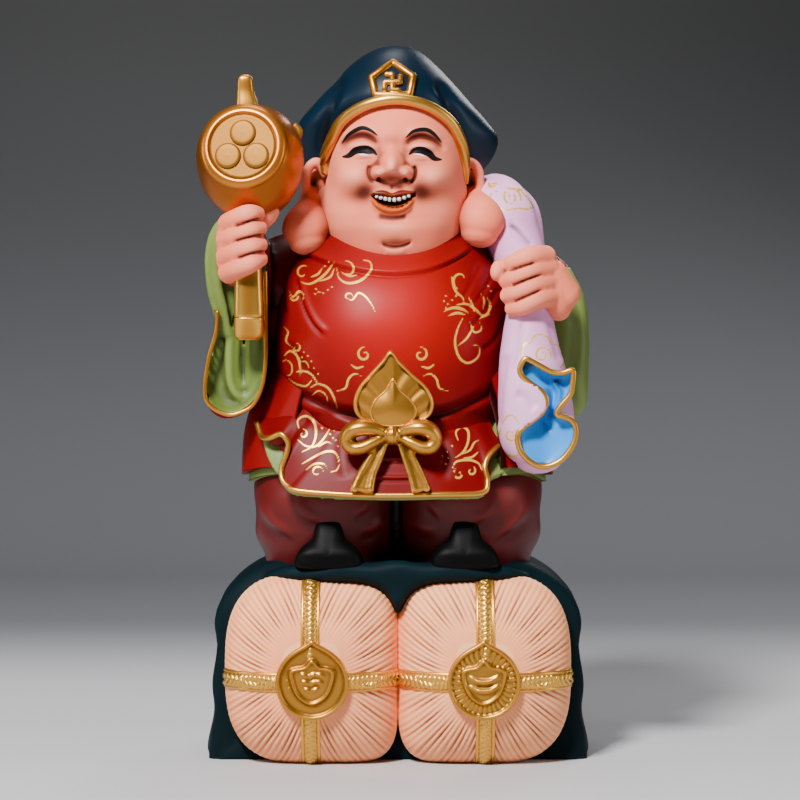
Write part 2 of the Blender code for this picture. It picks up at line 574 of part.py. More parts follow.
def head():
    rows = [
        (222.0, -0.8, -2.0, 14.0, -22.0, 12.0),
        (225.0, -0.8, -2.0, 21.5, -31.0, 18.0),
        (230.0, -0.8, -2.0, 26.6, -35.5, 24.0),
        (236.0, -1.3, -2.0, 30.4, -37.9, 28.0),
        (241.0, -1.3, -2.0, 31.7, -38.8, 30.0),
        (246.0, -1.3, -2.0, 32.2, -39.1, 31.0),
        (251.0, -1.1, -2.0, 32.2, -39.2, 31.0),
        (256.0, -0.8, -2.0, 31.6, -39.1, 31.0),
        (261.0, -0.8, -2.0, 31.2, -38.8, 31.0),
        (266.0, -0.8, -2.0, 30.8, -38.4, 31.0),
        (271.0, -0.8, -2.0, 30.2, -37.8, 31.0),
        (276.0, -0.8, -2.0, 29.4, -36.8, 31.0),
        (283.0, -0.8, -1.0, 27.2, -34.6, 30.0),
        (291.0, -0.8, 0.0, 22.6, -29.5, 26.0),
        (298.0, -0.8, 2.0, 14.0, -20.0, 18.0),
    ]
    rings = standing_rings(rows, 28, 22, focus=3.2, power=2.2)
    x, y, z = rings[..., 0], rings[..., 1], rings[..., 2]
    rings[..., 1] -= face_relief(x, z) * step(-y, 10.0, 27.0)
    skin("head", rings, *capped(rings))
    for side, name, middle in ((-1, "left", -38.6), (1, "right", 34.6)):
        ellipsoid("ear_" + name, (middle, 2.0, 259.5), (5.8, 5.2, 11.0), around=10, levels=6, lean=side * 8.0)
        rows = [
            (middle, -1.0, 255.0, 4.6), (middle + side * 0.2, -6.0, 248.0, 5.8),
            (middle + side * 2.0, -14.0, 242.0, 9.6), (middle + side * 2.6, -18.0, 238.0, 10.6),
            (middle + side * 2.0, -19.0, 233.0, 8.0),
        ]
        tube("lobe_" + name, rows, sides=10, steps=7)


def cap():
    rows = [
        (262.0, -1.5, 8.0, 36.0, -6.0, 30.0),
        (265.0, -1.5, 8.0, 41.0, -9.0, 34.0),
        (272.0, 0.0, 8.0, 45.0, -13.0, 37.5),
        (279.0, 0.4, 7.0, 45.6, -17.0, 38.0),
        (286.0, -0.2, 6.0, 41.6, -22.5, 37.0),
        (293.5, -0.8, 5.0, 35.6, -28.2, 34.0),
        (301.0, -1.0, 4.0, 29.4, -27.0, 29.5),
        (308.5, -1.0, 4.0, 22.6, -22.0, 24.0),
        (314.5, -0.8, 4.0, 15.4, -15.5, 18.5),
        (318.4, -0.6, 4.0, 8.6, -7.5, 12.0),
    ]
    rings = standing_rings(rows, 12, 20, focus=1.3, power=1.9)
    start, end = capped(rings)
    skin("cap", rings, start, (end[0], end[1], CAP_CREST))
    band = [
        (-31.0, -9.0, 258.0, 2.2), (-31.2, -13.5, 266.0, 2.3), (-29.6, -19.0, 275.0, 2.3),
        (-24.6, -25.4, 284.0, 2.3), (-14.0, -30.6, 291.0, 2.3), (-1.0, -32.4, 293.6, 2.3),
        (12.2, -30.6, 291.0, 2.3), (22.8, -25.4, 284.0, 2.3), (28.0, -19.0, 275.0, 2.3),
        (29.6, -13.5, 266.0, 2.3), (29.4, -9.0, 258.0, 2.2),
    ]
    tube("cap_band", band, sides=6, steps=17)
    badge = [(-12.4, 295.0), (-14.2, 305.2), (-2.6, 312.0), (9.0, 305.2), (7.2, 295.0)]
    tilted_plate("badge", badge, 1.3)
    window = [(-2.6 + (x + 2.6) * 0.72, 302.3 + (z - 302.6) * 0.72) for x, z in badge]
    cutter = tilted_plate("badge_cutter", window, 3.0, 0.7)
    forms.objects.unlink(cutter)
    cutters.objects.link(cutter)
    cut = forms.objects["badge"].modifiers.new("window", "BOOLEAN")
    cut.operation = "DIFFERENCE"
    cut.object = cutter
    manji()


def tilted_plate(name, outline, rise, sink=-6.0):
    """A plate that lies on the sloping front of the cap, from sink to rise above it."""
    count = len(outline)
    points = [(x, cap_front(z) - rise, z) for x, z in outline]
    points += [(x, cap_front(z) - sink, z) for x, z in outline]
    faces = [tuple(range(count)), tuple(range(2 * count - 1, count - 1, -1))]
    faces += [(k, (k + 1) % count, count + (k + 1) % count, count + k) for k in range(count)]
    return fused_form(name, points, faces)


def cap_front(z):
    """The y of the cap's front over the brow."""
    return -29.4 + 0.36 * (z - 295.0)


def manji():
    """The left-facing Buddhist manji on the cap's badge: a cross whose four arms turn a corner."""
    half, arm = 0.95, 4.7
    corner = [(half, half), (half, arm), (-arm + 0.6, arm), (-arm + 0.6, arm - 2 * half), (-half, arm - 2 * half)]
    outline = []
    for turn in range(4):
        for x, z in corner:
            for _ in range(turn):
                x, z = -z, x
            outline.append((-2.8 + x, 301.6 + z))
    tilted_plate("manji", outline, 1.6, -4.0)


# What the hands hold

def revolved(name, centre, axis, rows, around):
    """A skin of revolution. A row is how far along the axis, and the radius there."""
    axis = np.array(axis, float)
    axis /= np.linalg.norm(axis)
    side = np.cross(axis, (0.0, 0.0, 1.0))
    side /= np.linalg.norm(side)
    up = np.cross(side, axis)
    turn = (np.arange(around) / around * 2 * math.pi)[:, None]
    rings = [np.array(centre) + axis * s + r * (np.cos(turn) * side + np.sin(turn) * up) for s, r in rows]
    skin(name, rings, np.array(centre) + axis * rows[0][0], np.array(centre) + axis * rows[-1][0])
    return side, up, axis


def mallet():
    radius = MALLET_RADIUS
    rows = []
    for turn in np.linspace(0.12, 0.735, 6):
        rows.append((-radius * math.cos(math.pi * turn), radius * math.sin(math.pi * turn) ** 0.92))
    face = radius * 0.80
    rows += [(face, MALLET_DISC + 2.2), (face + 0.6, MALLET_DISC + 0.6), (face - 0.5, MALLET_DISC - 0.6)]
    axis = (-0.13, -1.0, 0.22)
    side, up, ahead = revolved("mallet_head", MALLET_CENTRE, axis, rows, 18)
    for k, (dx, dz) in enumerate(((0.0, 5.4), (-5.9, -4.4), (5.9, -4.4))):
        at = np.array(MALLET_CENTRE) + ahead * (face - 1.6) + side * dx + up * dz
        revolved(f"mallet_jewel_{k + 1}", at, ahead, [(0.0, 5.0), (1.8, 5.0), (3.2, 3.0)], 10)
    half = MALLET_HANDLE_HALF
    top = [(-4.7, 4.4, 286.0), (-4.5, 4.2, 291.0), (-2.9, 3.2, 301.5), (-2.0, 2.2, 303.2)]
    rings = []
    for low, wide, z in top:
        ring = [(-66.2 + a * wide, -35.0 + b * wide, z) for a, b in ((-1, -.6), (-.6, -1), (.6, -1), (1, -.6),
                                                                    (1, .6), (.6, 1), (-.6, 1), (-1, .6))]
        rings.append(ring)
    skin("mallet_peg", rings, *capped(np.array(rings)))
    rings = []
    for z, wide, deep in ((250.0, 0.9, 0.9), (214.0, 1.0, 1.0), (197.0, 1.0, 1.0), (189.0, 0.98, 0.72), (186.6, 0.8, 0.5)):
        ring = []
        for a, b in ((-1, -.55), (-.6, -1), (.6, -1), (1, -.55), (1, .7), (.7, 1), (-.7, 1), (-1, .7)):
            ring.append((-65.6 + a * half * wide, -41.0 + b * half * deep + half * (1 - deep) * 0.7, z))
        rings.append(ring)
    skin("mallet_handle", rings, *capped(np.array(rings)))


def hands():
    for k, z in enumerate((241.0, 233.4, 225.6, 218.0)):
        reach = (-58.8, -57.6, -57.4, -58.6)[k]
        rows = [
            (-73.0, -40.0, z - 2.6, 5.4), (-70.6, -45.4, z - 1.2, 5.2), (-65.0, -49.4, z, 5.0),
            (-60.6, -48.6, z, 4.8), (reach, -45.2, z - 0.4, 4.2),
        ]
        tube(f"left_finger_{k + 1}", rows, sides=6, steps=6)
    ellipsoid("left_palm", (-68.8, -37.5, 227.0), (9.8, 10.6, 17.4), around=12, levels=7, lean=-6.0)
    tube("left_thumb", [(-62.0, -38.0, 235.0, 5.0), (-57.0, -39.0, 240.5, 4.8), (-54.6, -39.0, 243.0, 4.0)],
         sides=8, steps=4)
    for k, z in enumerate((222.6, 215.4, 208.4, 201.4)):
        reach = (47.6, 48.2, 49.0, 50.2)[k]
        rows = [
            (reach, -39.0, z - 3.4, 4.2), (reach + 2.2, -44.6, z - 2.2, 4.9), (reach + 8.0, -47.4, z, 5.1),
            (63.0, -44.2, z + 1.6, 5.3), (69.0, -37.0, z + 0.6, 5.6),
        ]
        tube(f"right_finger_{k + 1}", rows, sides=6, steps=6)
    ellipsoid("right_palm", (66.0, -34.5, 210.4), (10.6, 11.0, 16.4), around=12, levels=7, lean=-18.0)
    ellipsoid("right_thumb", (44.0, -42.0, 218.6), (3.4, 5.6, 4.8), around=10, levels=6, lean=12.0)


def sack():
    rows = [
        (20.0, 34.0, 168.0, 14.0), (21.0, 37.0, 184.0, 25.0), (25.0, 38.0, 206.0, 29.0),
        (33.0, 31.0, 229.0, 25.0), (41.0, 16.0, 244.0, 19.5), (48.0, 2.0, 243.0, 17.0),
        (53.0, -9.0, 229.0, 13.6), (57.4, -26.0, 213.0, 11.0), (58.0, -33.0, 203.0, 10.4),
        (58.0, -35.0, 190.0, 12.8), (58.8, -37.0, 172.0, 16.4), (60.2, -37.0, 154.0, 18.4),
        (61.4, -36.0, 141.0, 16.6), (62.0, -35.0, 134.0, 11.0),
    ]
    form = tube("sack", rows, sides=12, steps=17, flat=0.9)
    rim = mouth_outline(30)
    cutter = prism("sack_mouth_cutter", rim, -44.5, -75.0)
    forms.objects.unlink(cutter)
    cutters.objects.link(cutter)
    cut = form.modifiers.new("mouth", "BOOLEAN")
    cut.operation = "DIFFERENCE"
    cut.object = cutter


def mouth_outline(count):
    """The wavy edge of the sack's open mouth, in the front plane."""
    points = [
        (57.4, 179.6), (62.6, 176.0), (68.0, 174.4), (75.8, 175.6), (76.2, 170.6), (74.6, 164.4),
        (69.4, 159.2), (68.2, 155.4), (73.0, 153.4), (77.4, 149.0), (77.2, 144.4), (73.6, 138.2),
        (67.0, 133.6), (60.6, 132.4), (54.6, 135.2), (51.4, 141.0), (52.4, 147.6), (58.2, 152.6),
        (63.2, 156.8), (64.0, 161.6), (61.0, 166.6), (55.2, 170.6), (52.2, 174.6), (53.0, 178.6),
    ]
    return closed_curve(points, count)


# Assembly

def fuse():
    """Joins every form into the one cast solid and trims its underside flat."""
    seed = forms.objects["body"]
    forms.objects.unlink(seed)
    seed.name = "daikoku_statue"
    seed.hide_render = False
    seed.display_type = "TEXTURED"
    bpy.context.scene.collection.objects.link(seed)
    joined = seed.modifiers.new("fuse forms", "BOOLEAN")
    joined.operation = "UNION"
    joined.operand_type = "COLLECTION"
    joined.collection = forms
    bpy.ops.mesh.primitive_cube_add(size=1.0, location=(0.0, 0.0, -TRIM_DEPTH * SHARE / 2))
    ground = bpy.context.active_object
    ground.name = "ground_cutter"
    ground.scale = (1.0, 1.0, TRIM_DEPTH * SHARE)
    ground.hide_render = True
    ground.display_type = "WIRE"
    trimmed = seed.modifiers.new("trim underside", "BOOLEAN")
    trimmed.operation = "DIFFERENCE"
    trimmed.object = ground
    paint = bpy.data.materials.new("painted_resin")
    paint.use_nodes = True
    shader = paint.node_tree.nodes["Principled BSDF"]
    shader.inputs["Base Color"].default_value = RED
    shader.inputs["Roughness"].default_value = 0.45
    seed.data.materials.append(paint)
    bpy.context.view_layer.update()
    seen = seed.evaluated_get(bpy.context.evaluated_depsgraph_get())
    whole = bpy.data.meshes.new_from_object(seen)
    seed.modifiers.clear()
    seed.data = whole
    drop_pockets(whole)
    for helper in list(forms.objects) + list(cutters.objects) + [ground]:
        bpy.data.objects.remove(helper)
    whole.shade_smooth()
    whole.set_sharp_from_angle(angle=math.radians(40.0))


def drop_pockets(mesh):
    """Leaves only the outer skin, without the small pockets that fusing encloses."""
    work = bmesh.new()
    work.from_mesh(mesh)
    waiting, largest = set(work.faces), []
    while waiting:
        group, ahead = [], [waiting.pop()]
        while ahead:
            face = ahead.pop()
            group.append(face)
            for line in face.edges:
                for other in line.link_faces if len(line.link_faces) == 2 else ():
                    if other in waiting:
                        waiting.remove(other)
                        ahead.append(other)
        if len(group) > len(largest):
            largest = group
    kept = set(largest)
    bmesh.ops.delete(work, geom=[f for f in work.faces if f not in kept], context="FACES")
    bmesh.ops.dissolve_limit(
        work, angle_limit=math.radians(SPARE_ANGLE), verts=work.verts, edges=work.edges
    )
    bmesh.ops.triangulate(work, faces=work.faces)
    work.to_mesh(mesh)
    work.free()


for thing in list(bpy.data.objects):
    bpy.data.objects.remove(thing)

forms = bpy.data.collections.new("forms")
cutters = bpy.data.collections.new("cutters")
bpy.context.scene.collection.children.link(forms)
bpy.context.scene.collection.children.link(cutters)

bale_middle_height = BALE_HALF_HEIGHT - BALE_SINK
bale_spacing = BALE_HALF_WIDTH - 0.4
medal_height = 37.8

plinth()
trousers()
shoes()
body()
skirt()
ornament()
arms()
head()
cap()
mallet()
hands()
sack()
fuse()
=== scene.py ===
import math

import bpy
import numpy as np
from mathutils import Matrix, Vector


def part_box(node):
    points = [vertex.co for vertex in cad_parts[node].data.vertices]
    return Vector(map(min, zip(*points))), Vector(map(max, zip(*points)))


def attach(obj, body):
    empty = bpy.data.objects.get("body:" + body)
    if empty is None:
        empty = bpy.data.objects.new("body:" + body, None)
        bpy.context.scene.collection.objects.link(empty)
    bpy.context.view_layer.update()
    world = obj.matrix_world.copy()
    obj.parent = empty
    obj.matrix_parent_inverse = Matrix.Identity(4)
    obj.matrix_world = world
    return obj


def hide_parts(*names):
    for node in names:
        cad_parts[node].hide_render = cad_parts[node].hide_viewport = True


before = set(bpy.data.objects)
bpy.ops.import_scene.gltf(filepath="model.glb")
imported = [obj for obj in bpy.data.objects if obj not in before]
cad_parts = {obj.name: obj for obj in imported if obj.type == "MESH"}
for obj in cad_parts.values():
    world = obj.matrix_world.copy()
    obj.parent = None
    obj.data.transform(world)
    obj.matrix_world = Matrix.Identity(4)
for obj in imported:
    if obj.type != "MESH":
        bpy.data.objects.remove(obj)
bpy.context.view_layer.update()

# Shapes are written in shares of the height: one share is a millimetre on a 320 mm statue.
nodeName = "daikoku_statue"
low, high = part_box(nodeName)
unit = (high[2] - low[2]) / 320.0
camera = {"back": 1250.0, "up": 190.0, "aim": 159.75, "zoom": 2762.0, "column": 398.0, "row": 400.0, "side": 800.0}


# Curves and numbers

def through(rows, count):
    rows = np.asarray(rows, float)
    place = np.linspace(0.0, len(rows) - 1.0, count)
    first = np.clip(place.astype(int), 0, len(rows) - 2)
    t = (place - first)[:, None]
    before, here = rows[np.clip(first - 1, 0, None)], rows[first]
    after, beyond = rows[first + 1], rows[np.clip(first + 2, None, len(rows) - 1)]
    slopeHere, slopeAfter = 0.5 * (after - before), 0.5 * (beyond - here)
    return (
        (2 * t**3 - 3 * t**2 + 1) * here + (t**3 - 2 * t**2 + t) * slopeHere
        + (3 * t**2 - 2 * t**3) * after + (t**3 - t**2) * slopeAfter
    )


def evenly(points, count, closed=False):
    # points read from a smooth curve at even distances
    points = [tuple(p) for p in points]
    if closed:
        looped = points[-1:] + points + points[:2]
        dense = through(looped, (len(looped) - 1) * 24 + 1)[24:-24]
    else:
        dense = through(points, (len(points) - 1) * 24 + 1)
    run = np.concatenate([[0.0], np.cumsum(np.linalg.norm(np.diff(dense, axis=0), axis=1))])
    wanted = np.linspace(0.0, run[-1], count, endpoint=not closed)
    return np.stack([np.interp(wanted, run, dense[:, k]) for k in range(dense.shape[1])], 1)


def ease(value, start, end):
    t = np.clip((value - start) / (end - start), 0.0, 1.0)
    return t * t * (3.0 - 2.0 * t)


def knob(u, v, atU, atV, wide, above, below, rise):
    tall = np.where(v < atV, above, below)
    return rise * np.exp(-(((u - atU) / wide) ** 2) - ((v - atV) / tall) ** 2)


def knobs(u, v, rows):
    return sum(knob(u, v, *row) for row in rows)


def power(value, sharp):
    return np.sign(value) * np.abs(value) ** (2.0 / sharp)


def pictureOf(points):
    # where a point lies in the 800 x 800 frame of the fitted camera
    tilt = math.atan2(camera["up"] - camera["aim"], camera["back"])
    y, z = points[..., 1] + camera["back"], points[..., 2] - camera["up"]
    deep = y * math.cos(tilt) - z * math.sin(tilt)
    rise = y * math.sin(tilt) + z * math.cos(tilt)
    return (
        camera["column"] + camera["zoom"] * points[..., 0] / deep,
        camera["row"] - camera["zoom"] * rise / deep,
    )


def atPicture(u, v, y):
    # the point of the plane at this y that the fitted camera sees at a place in its frame
    tilt = math.atan2(camera["up"] - camera["aim"], camera["back"])
    across = (np.asarray(u, float) - camera["column"]) / camera["zoom"]
    rise = (camera["row"] - np.asarray(v, float)) / camera["zoom"]
    ahead = math.cos(tilt) + rise * math.sin(tilt)
    up = -math.sin(tilt) + rise * math.cos(tilt)
    reach = (np.asarray(y, float) + camera["back"]) / ahead
    return np.stack([across * reach, reach * ahead - camera["back"], camera["up"] + up * reach], -1)


def placed(rows, y):
    # rows that start with a column and a row of the frame, turned into x, y, z and the rest
    rows = np.asarray(rows, float)
    return np.concatenate([atPicture(rows[:, 0], rows[:, 1], y), rows[:, 2:]], 1)


def pathDistance(u, v, path, step=0.6):
    # distance from each place to a curve through the path, and how far along the curve that is
    path = np.asarray(path, float)
    length = np.linalg.norm(np.diff(path[:, :2], axis=0), axis=1).sum()
    line = evenly(path, max(8, int(length / step)))
    shape = u.shape
    u, v = u.ravel(), v.ravel()
    best, along = np.full(u.shape, 1e3), np.zeros(u.shape)
    margin = 26.0
    near = (
        (u > line[:, 0].min() - margin) & (u < line[:, 0].max() + margin)
        & (v > line[:, 1].min() - margin) & (v < line[:, 1].max() + margin)
    )
    where = np.nonzero(near)[0]
    for start in range(0, len(where), 20000):
        some = where[start:start + 20000]
        gap = (u[some, None] - line[None, :, 0]) ** 2 + (v[some, None] - line[None, :, 1]) ** 2
        nearest = gap.argmin(axis=1)
        best[some] = np.sqrt(gap[np.arange(len(some)), nearest])
        along[some] = nearest / (len(line) - 1.0)
    return best.reshape(shape), along.reshape(shape), line


def groove(u, v, path, wide, deep, fade=0.16):
    gap, along, _ = pathDistance(u, v, path)
    ends = np.minimum(ease(along, -0.02, fade), 1.0 - ease(along, 1.0 - fade, 1.02))
    return deep * ends * np.exp(-((gap / wide) ** 2))


def grooves(u, v, rows):
    return sum(groove(u, v, *row) for row in rows)


def strokeField(u, v, strokes):
    # how far outside the nearest brush stroke each place is, in pixels of the frame; inside is below 0
    field = np.full(u.shape, 30.0)
    for path, half, taper in strokes:
        gap, along, _ = pathDistance(u, v, path, 0.4)
        swell = 1.0 - taper * np.abs(2.0 * along - 1.0) ** 2
        field = np.minimum(field, gap - half * swell)
    return field


class Strokes(list):
    # painted scrolls: path, half width in pixels, taper

    def add(self, path, half=0.95, taper=0.6):
        self.append((path, half, taper))

    def dots(self, places, size=0.9):
        for u, v in places:
            self.add([(u - 0.3, v - 0.2), (u + 0.3, v + 0.2)], size, 0.0)


def spiral(u, v, radius, turns, start, spin=1):
    # a scroll that winds in from its rim; start is the angle of its outer end, in degrees
    path = []
    for t in np.linspace(0.0, 1.0, int(10 * turns) + 4):
        angle = math.radians(start) + spin * t * turns * 2 * math.pi
        reach = radius * (1.0 - 0.8 * t)
        path.append((u + reach * math.cos(angle), v - reach * math.sin(angle)))
    return path


# Meshes

def ringFaces(count, around, first=0, closed=True):
    i, j = np.meshgrid(np.arange(count - 1), np.arange(around if closed else around - 1), indexing="ij")
    k = (j + 1) % around
    quads = np.stack([i * around + j, i * around + k, (i + 1) * around + k, (i + 1) * around + j], -1)
    return (quads.reshape(-1, 4) + first).tolist()


def skinOf(rings):
    # rings closed by a fan at each end
    count, around = rings.shape[:2]
    points = np.concatenate([rings.reshape(-1, 3), [rings[0].mean(0), rings[-1].mean(0)]])
    faces = ringFaces(count, around)
    a, b = count * around, count * around + 1
    for j in range(around):
        k = (j + 1) % around
        faces.append((a, k, j))
        faces.append((b, (count - 1) * around + j, (count - 1) * around + k))
    halves = np.array([face[:3] for face in faces] + [(f[0], f[2], f[3]) for f in faces if len(f) == 4])
    if np.linalg.det((points - points.mean(0))[halves]).sum() < 0:
        faces = [face[::-1] for face in faces]
    return points, faces


def frontAngles(around, focus):
    place = (np.arange(around) + 0.5) / around * 2.0 - 1.0
    return math.pi * place * (1.0 / focus + (1.0 - 1.0 / focus) * place**2)


def standing(rows, levels, around, focus=1.0, sharp=2.0):
    # level rings; a row is height, middle x, widest y, half width, front y, back y
    angle = frontAngles(around, focus)
    side, ahead = power(np.sin(angle), sharp), power(np.cos(angle), sharp)
    rings = []
    for z, middle, widest, half, front, back in through(rows, levels):
        x = middle + half * side
        y = np.where(ahead > 0, widest - (widest - front) * ahead, widest - (back - widest) * ahead)
        rings.append(np.stack([x, y, np.full(around, z)], 1))
    return np.array(rings)


def swept(rows, sides=16, steps=24, flat=1.0, blunt=0.75, sharp=2.0):
    # a round-ended tube; a row is x, y, z and radius
    rows = through(rows, steps)
    path, radii = rows[:, :3], rows[:, 3]
    along = np.gradient(path, axis=0)
    along /= np.linalg.norm(along, axis=1)[:, None]
    turn = np.arange(sides) / sides * 2 * math.pi
    normal = np.array([0.0, 1.0, 0.0]) if abs(along[0][1]) < 0.8 else np.array([0.0, 0.0, 1.0])
    rings, sections = [], []
    for here, ahead, radius in zip(path, along, radii):
        normal = normal - ahead * (normal @ ahead)
        normal = normal / np.linalg.norm(normal)
        beside = np.cross(ahead, normal)
        cross = flat * power(np.cos(turn), sharp)[:, None] * normal
        cross = cross + power(np.sin(turn), sharp)[:, None] * beside
        sections.append(cross)
        rings.append(here + radius * cross)
    first, last = [], []
    for angle in np.linspace(0.0, math.pi / 2, 5)[1:-1] if blunt else []:
        first.insert(0, path[0] - along[0] * radii[0] * blunt * math.sin(angle)
                     + radii[0] * math.cos(angle) * sections[0])
        last.append(path[-1] + along[-1] * radii[-1] * blunt * math.sin(angle)
                    + radii[-1] * math.cos(angle) * sections[-1])
    return np.array(first + rings + last)


def egg(centre, radii, around=28, levels=18, lean=0.0):
    polar = math.pi * np.arange(1, levels) / levels
    turn = np.arange(around) / around * 2 * math.pi
    x = radii[0] * np.sin(polar)[:, None] * np.cos(turn)
    y = radii[1] * np.sin(polar)[:, None] * np.sin(turn)
    z = radii[2] * np.cos(polar)[:, None] * np.ones_like(turn)
    tilt = math.radians(lean)
    return np.stack([x * math.cos(tilt) + z * math.sin(tilt), y,
                     -x * math.sin(tilt) + z * math.cos(tilt)], -1) + np.array(centre)


def revolved(centre, axis, rows, around):
    axis = np.array(axis, float) / np.linalg.norm(axis)
    side = np.cross(axis, (0.0, 0.0, 1.0))
    side /= np.linalg.norm(side)
    up = np.cross(side, axis)
    turn = (np.arange(around) / around * 2 * math.pi)[:, None]
    rings = [np.array(centre) + axis * s + r * (np.cos(turn) * side + np.sin(turn) * up) for s, r in rows]
    return np.array(rings), side, up, axis


def stackedRings(outline, layers, centre):
    outline = np.asarray(outline, float)
    rings = []
    for size, y in layers:
        x = centre[0] + (outline[:, 0] - centre[0]) * size
        z = centre[1] + (outline[:, 1] - centre[1]) * size
        rings.append(np.stack([x, np.full(len(x), y), z], 1))
    return np.array(rings)


def sheetShell(rails, thick, across, along, shape=None):
    # a cloth over a few rails that run the same way, closed by a rounded edge
    rails = np.array([through(rail, along) for rail in rails])
    grid = through(rails.reshape(len(rails), -1), across).reshape(across, along, 3)
    if shape is not None:
        grid = shape(grid)
    normal = np.cross(np.gradient(grid, axis=1), np.gradient(grid, axis=0))
    normal /= np.linalg.norm(normal, axis=2)[..., None]
    back = grid + normal * thick
    size = across * along
    points = np.concatenate([grid.reshape(-1, 3), back.reshape(-1, 3)])
    faces = []
    for i in range(across - 1):
        for j in range(along - 1):
            a, b = i * along + j, (i + 1) * along + j
            faces.append((a, a + 1, b + 1, b))
            faces.append((size + a, size + b, size + b + 1, size + a + 1))
    edge = list(range(along)) + [i * along + along - 1 for i in range(1, across)]
    edge += [(across - 1) * along + j for j in range(along - 2, -1, -1)]
    edge += [i * along for i in range(across - 2, 0, -1)]
    for a, b in zip(edge, edge[1:] + edge[:1]):
        faces.append((a, b, size + b, size + a))
    return points, faces, grid


def joinShells(shells):
    points, faces, first = [], [], 0
    for some, those in shells:
        points.append(np.asarray(some, float))
        faces += [tuple(int(k) + first for k in face) for face in those]
        first += len(some)
    return np.concatenate(points), faces


def pushed(rings, amount, closed=True):
    # moves a grid of points out along its own normals
    around = np.roll(rings, -1, 1) - np.roll(rings, 1, 1) if closed else np.gradient(rings, axis=1)
    normal = np.cross(around, np.gradient(rings, axis=0))
    normal /= np.maximum(np.linalg.norm(normal, axis=2)[..., None], 1e-9)
    middle = rings.reshape(-1, 3).mean(0)
    if ((rings - middle) * normal).sum() < 0:
        normal = -normal
    return rings + normal * amount[..., None]


def plainMesh(name, points, faces):
    mesh = bpy.data.meshes.new(name)
    mesh.from_pydata((np.asarray(points, float) * unit).tolist(), [], faces)
    mesh.validate()
    mesh.update()
    return mesh


def melted(name, shells, voxel, rounds, strength=0.5):
    # closed shells melted into one skin, then smoothed
    points, faces = joinShells(shells)
    thing = bpy.data.objects.new(name, plainMesh(name, points, faces))
    bpy.context.scene.collection.objects.link(thing)
    grid = thing.modifiers.new("melt", "REMESH")
    grid.mode = "VOXEL"
    grid.voxel_size = voxel * unit
    soft = thing.modifiers.new("soften", "SMOOTH")
    soft.factor = strength
    soft.iterations = rounds
    bpy.context.view_layer.update()
    seen = thing.evaluated_get(bpy.context.evaluated_depsgraph_get())
    mesh = bpy.data.meshes.new_from_object(seen)
    bpy.data.objects.remove(thing)
    mesh.name = name
    return mesh


def pointsOf(mesh):
    flat = np.empty(len(mesh.vertices) * 3)
    mesh.vertices.foreach_get("co", flat)
    return flat.reshape(-1, 3) / unit


def normalsOf(mesh):
    flat = np.empty(len(mesh.vertices) * 3, np.float32)
    mesh.vertex_normals.foreach_get("vector", flat)
    return flat.reshape(-1, 3).astype(float)


def movePoints(mesh, points):
    mesh.vertices.foreach_set("co", (points * unit).ravel())
    mesh.update()


def hollowOf(mesh, rounds):
    # how deep each point lies in a hollow, in shares, from a softened copy of the surface
    ends = np.empty(len(mesh.edges) * 2, np.int32)
    mesh.edges.foreach_get("vertices", ends)
    a, b = ends.reshape(-1, 2).T
    both, other = np.concatenate([a, b]), np.concatenate([b, a])
    count = np.maximum(np.bincount(both, minlength=len(mesh.vertices)), 1)
    start = pointsOf(mesh)
    soft = start.copy()
    for _ in range(rounds):
        soft = np.stack([np.bincount(both, soft[other, k], len(start)) / count for k in range(3)], 1)
    return ((soft - start) * normalsOf(mesh)).sum(1)


def addPiece(name, mesh, colour, rounds, fields=None):
    # one painted piece of the casting; rounds is how widely its hollows are softened
    mesh.shade_smooth()
    piece = bpy.data.objects.new(name, mesh)
    bpy.context.scene.collection.objects.link(piece)
    mesh.materials.clear()
    mesh.materials.append(finishes[colour])
    fields = dict(fields or {})
    fields["hollow"] = hollowOf(mesh, rounds)
    for key, values in fields.items():
        layer = mesh.attributes.new(key, "FLOAT", "POINT")
        layer.data.foreach_set("value", np.asarray(values, np.float32).ravel())
    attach(piece, "root")
    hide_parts(nodeName)


def addShells(name, shells, colour, rounds, fields=None):
    addPiece(name, plainMesh(name, *joinShells(shells)), colour, rounds, fields)


def addMelted(name, shells, voxel, softened, colour, rounds):
    addPiece(name, melted(name, shells, voxel, softened), colour, rounds)


def addRed(name, mesh, gilt, rounds):
    addPiece(name, mesh, "red", rounds, {"gilt": gilt, "paintedHighlight": robePaintedHighlight(pointsOf(mesh))})


# Finishes

class Value:
    # a shader socket that can be used in sums

    def __init__(self, finish, socket):
        self.finish = finish
        self.socket = socket

    def sum(self, operation, first, second):
        return self.finish.node("Math", 0, {"operation": operation}, {0: first, 1: second})

    def __add__(self, other):
        return self.sum("ADD", self, other)

    def __sub__(self, other):
        return self.sum("SUBTRACT", self, other)

    def __mul__(self, other):
        return self.sum("MULTIPLY", self, other)

    def __radd__(self, other):
        return self.sum("ADD", self, other)

    def __rsub__(self, other):
        return self.sum("SUBTRACT", other, self)

    def __rmul__(self, other):
        return self.sum("MULTIPLY", self, other)

    def between(self, start, end):
        return self.finish.node("MapRange", "Result", {"interpolation_type": "SMOOTHSTEP"},
                                {"Value": self, "From Min": start, "From Max": end})


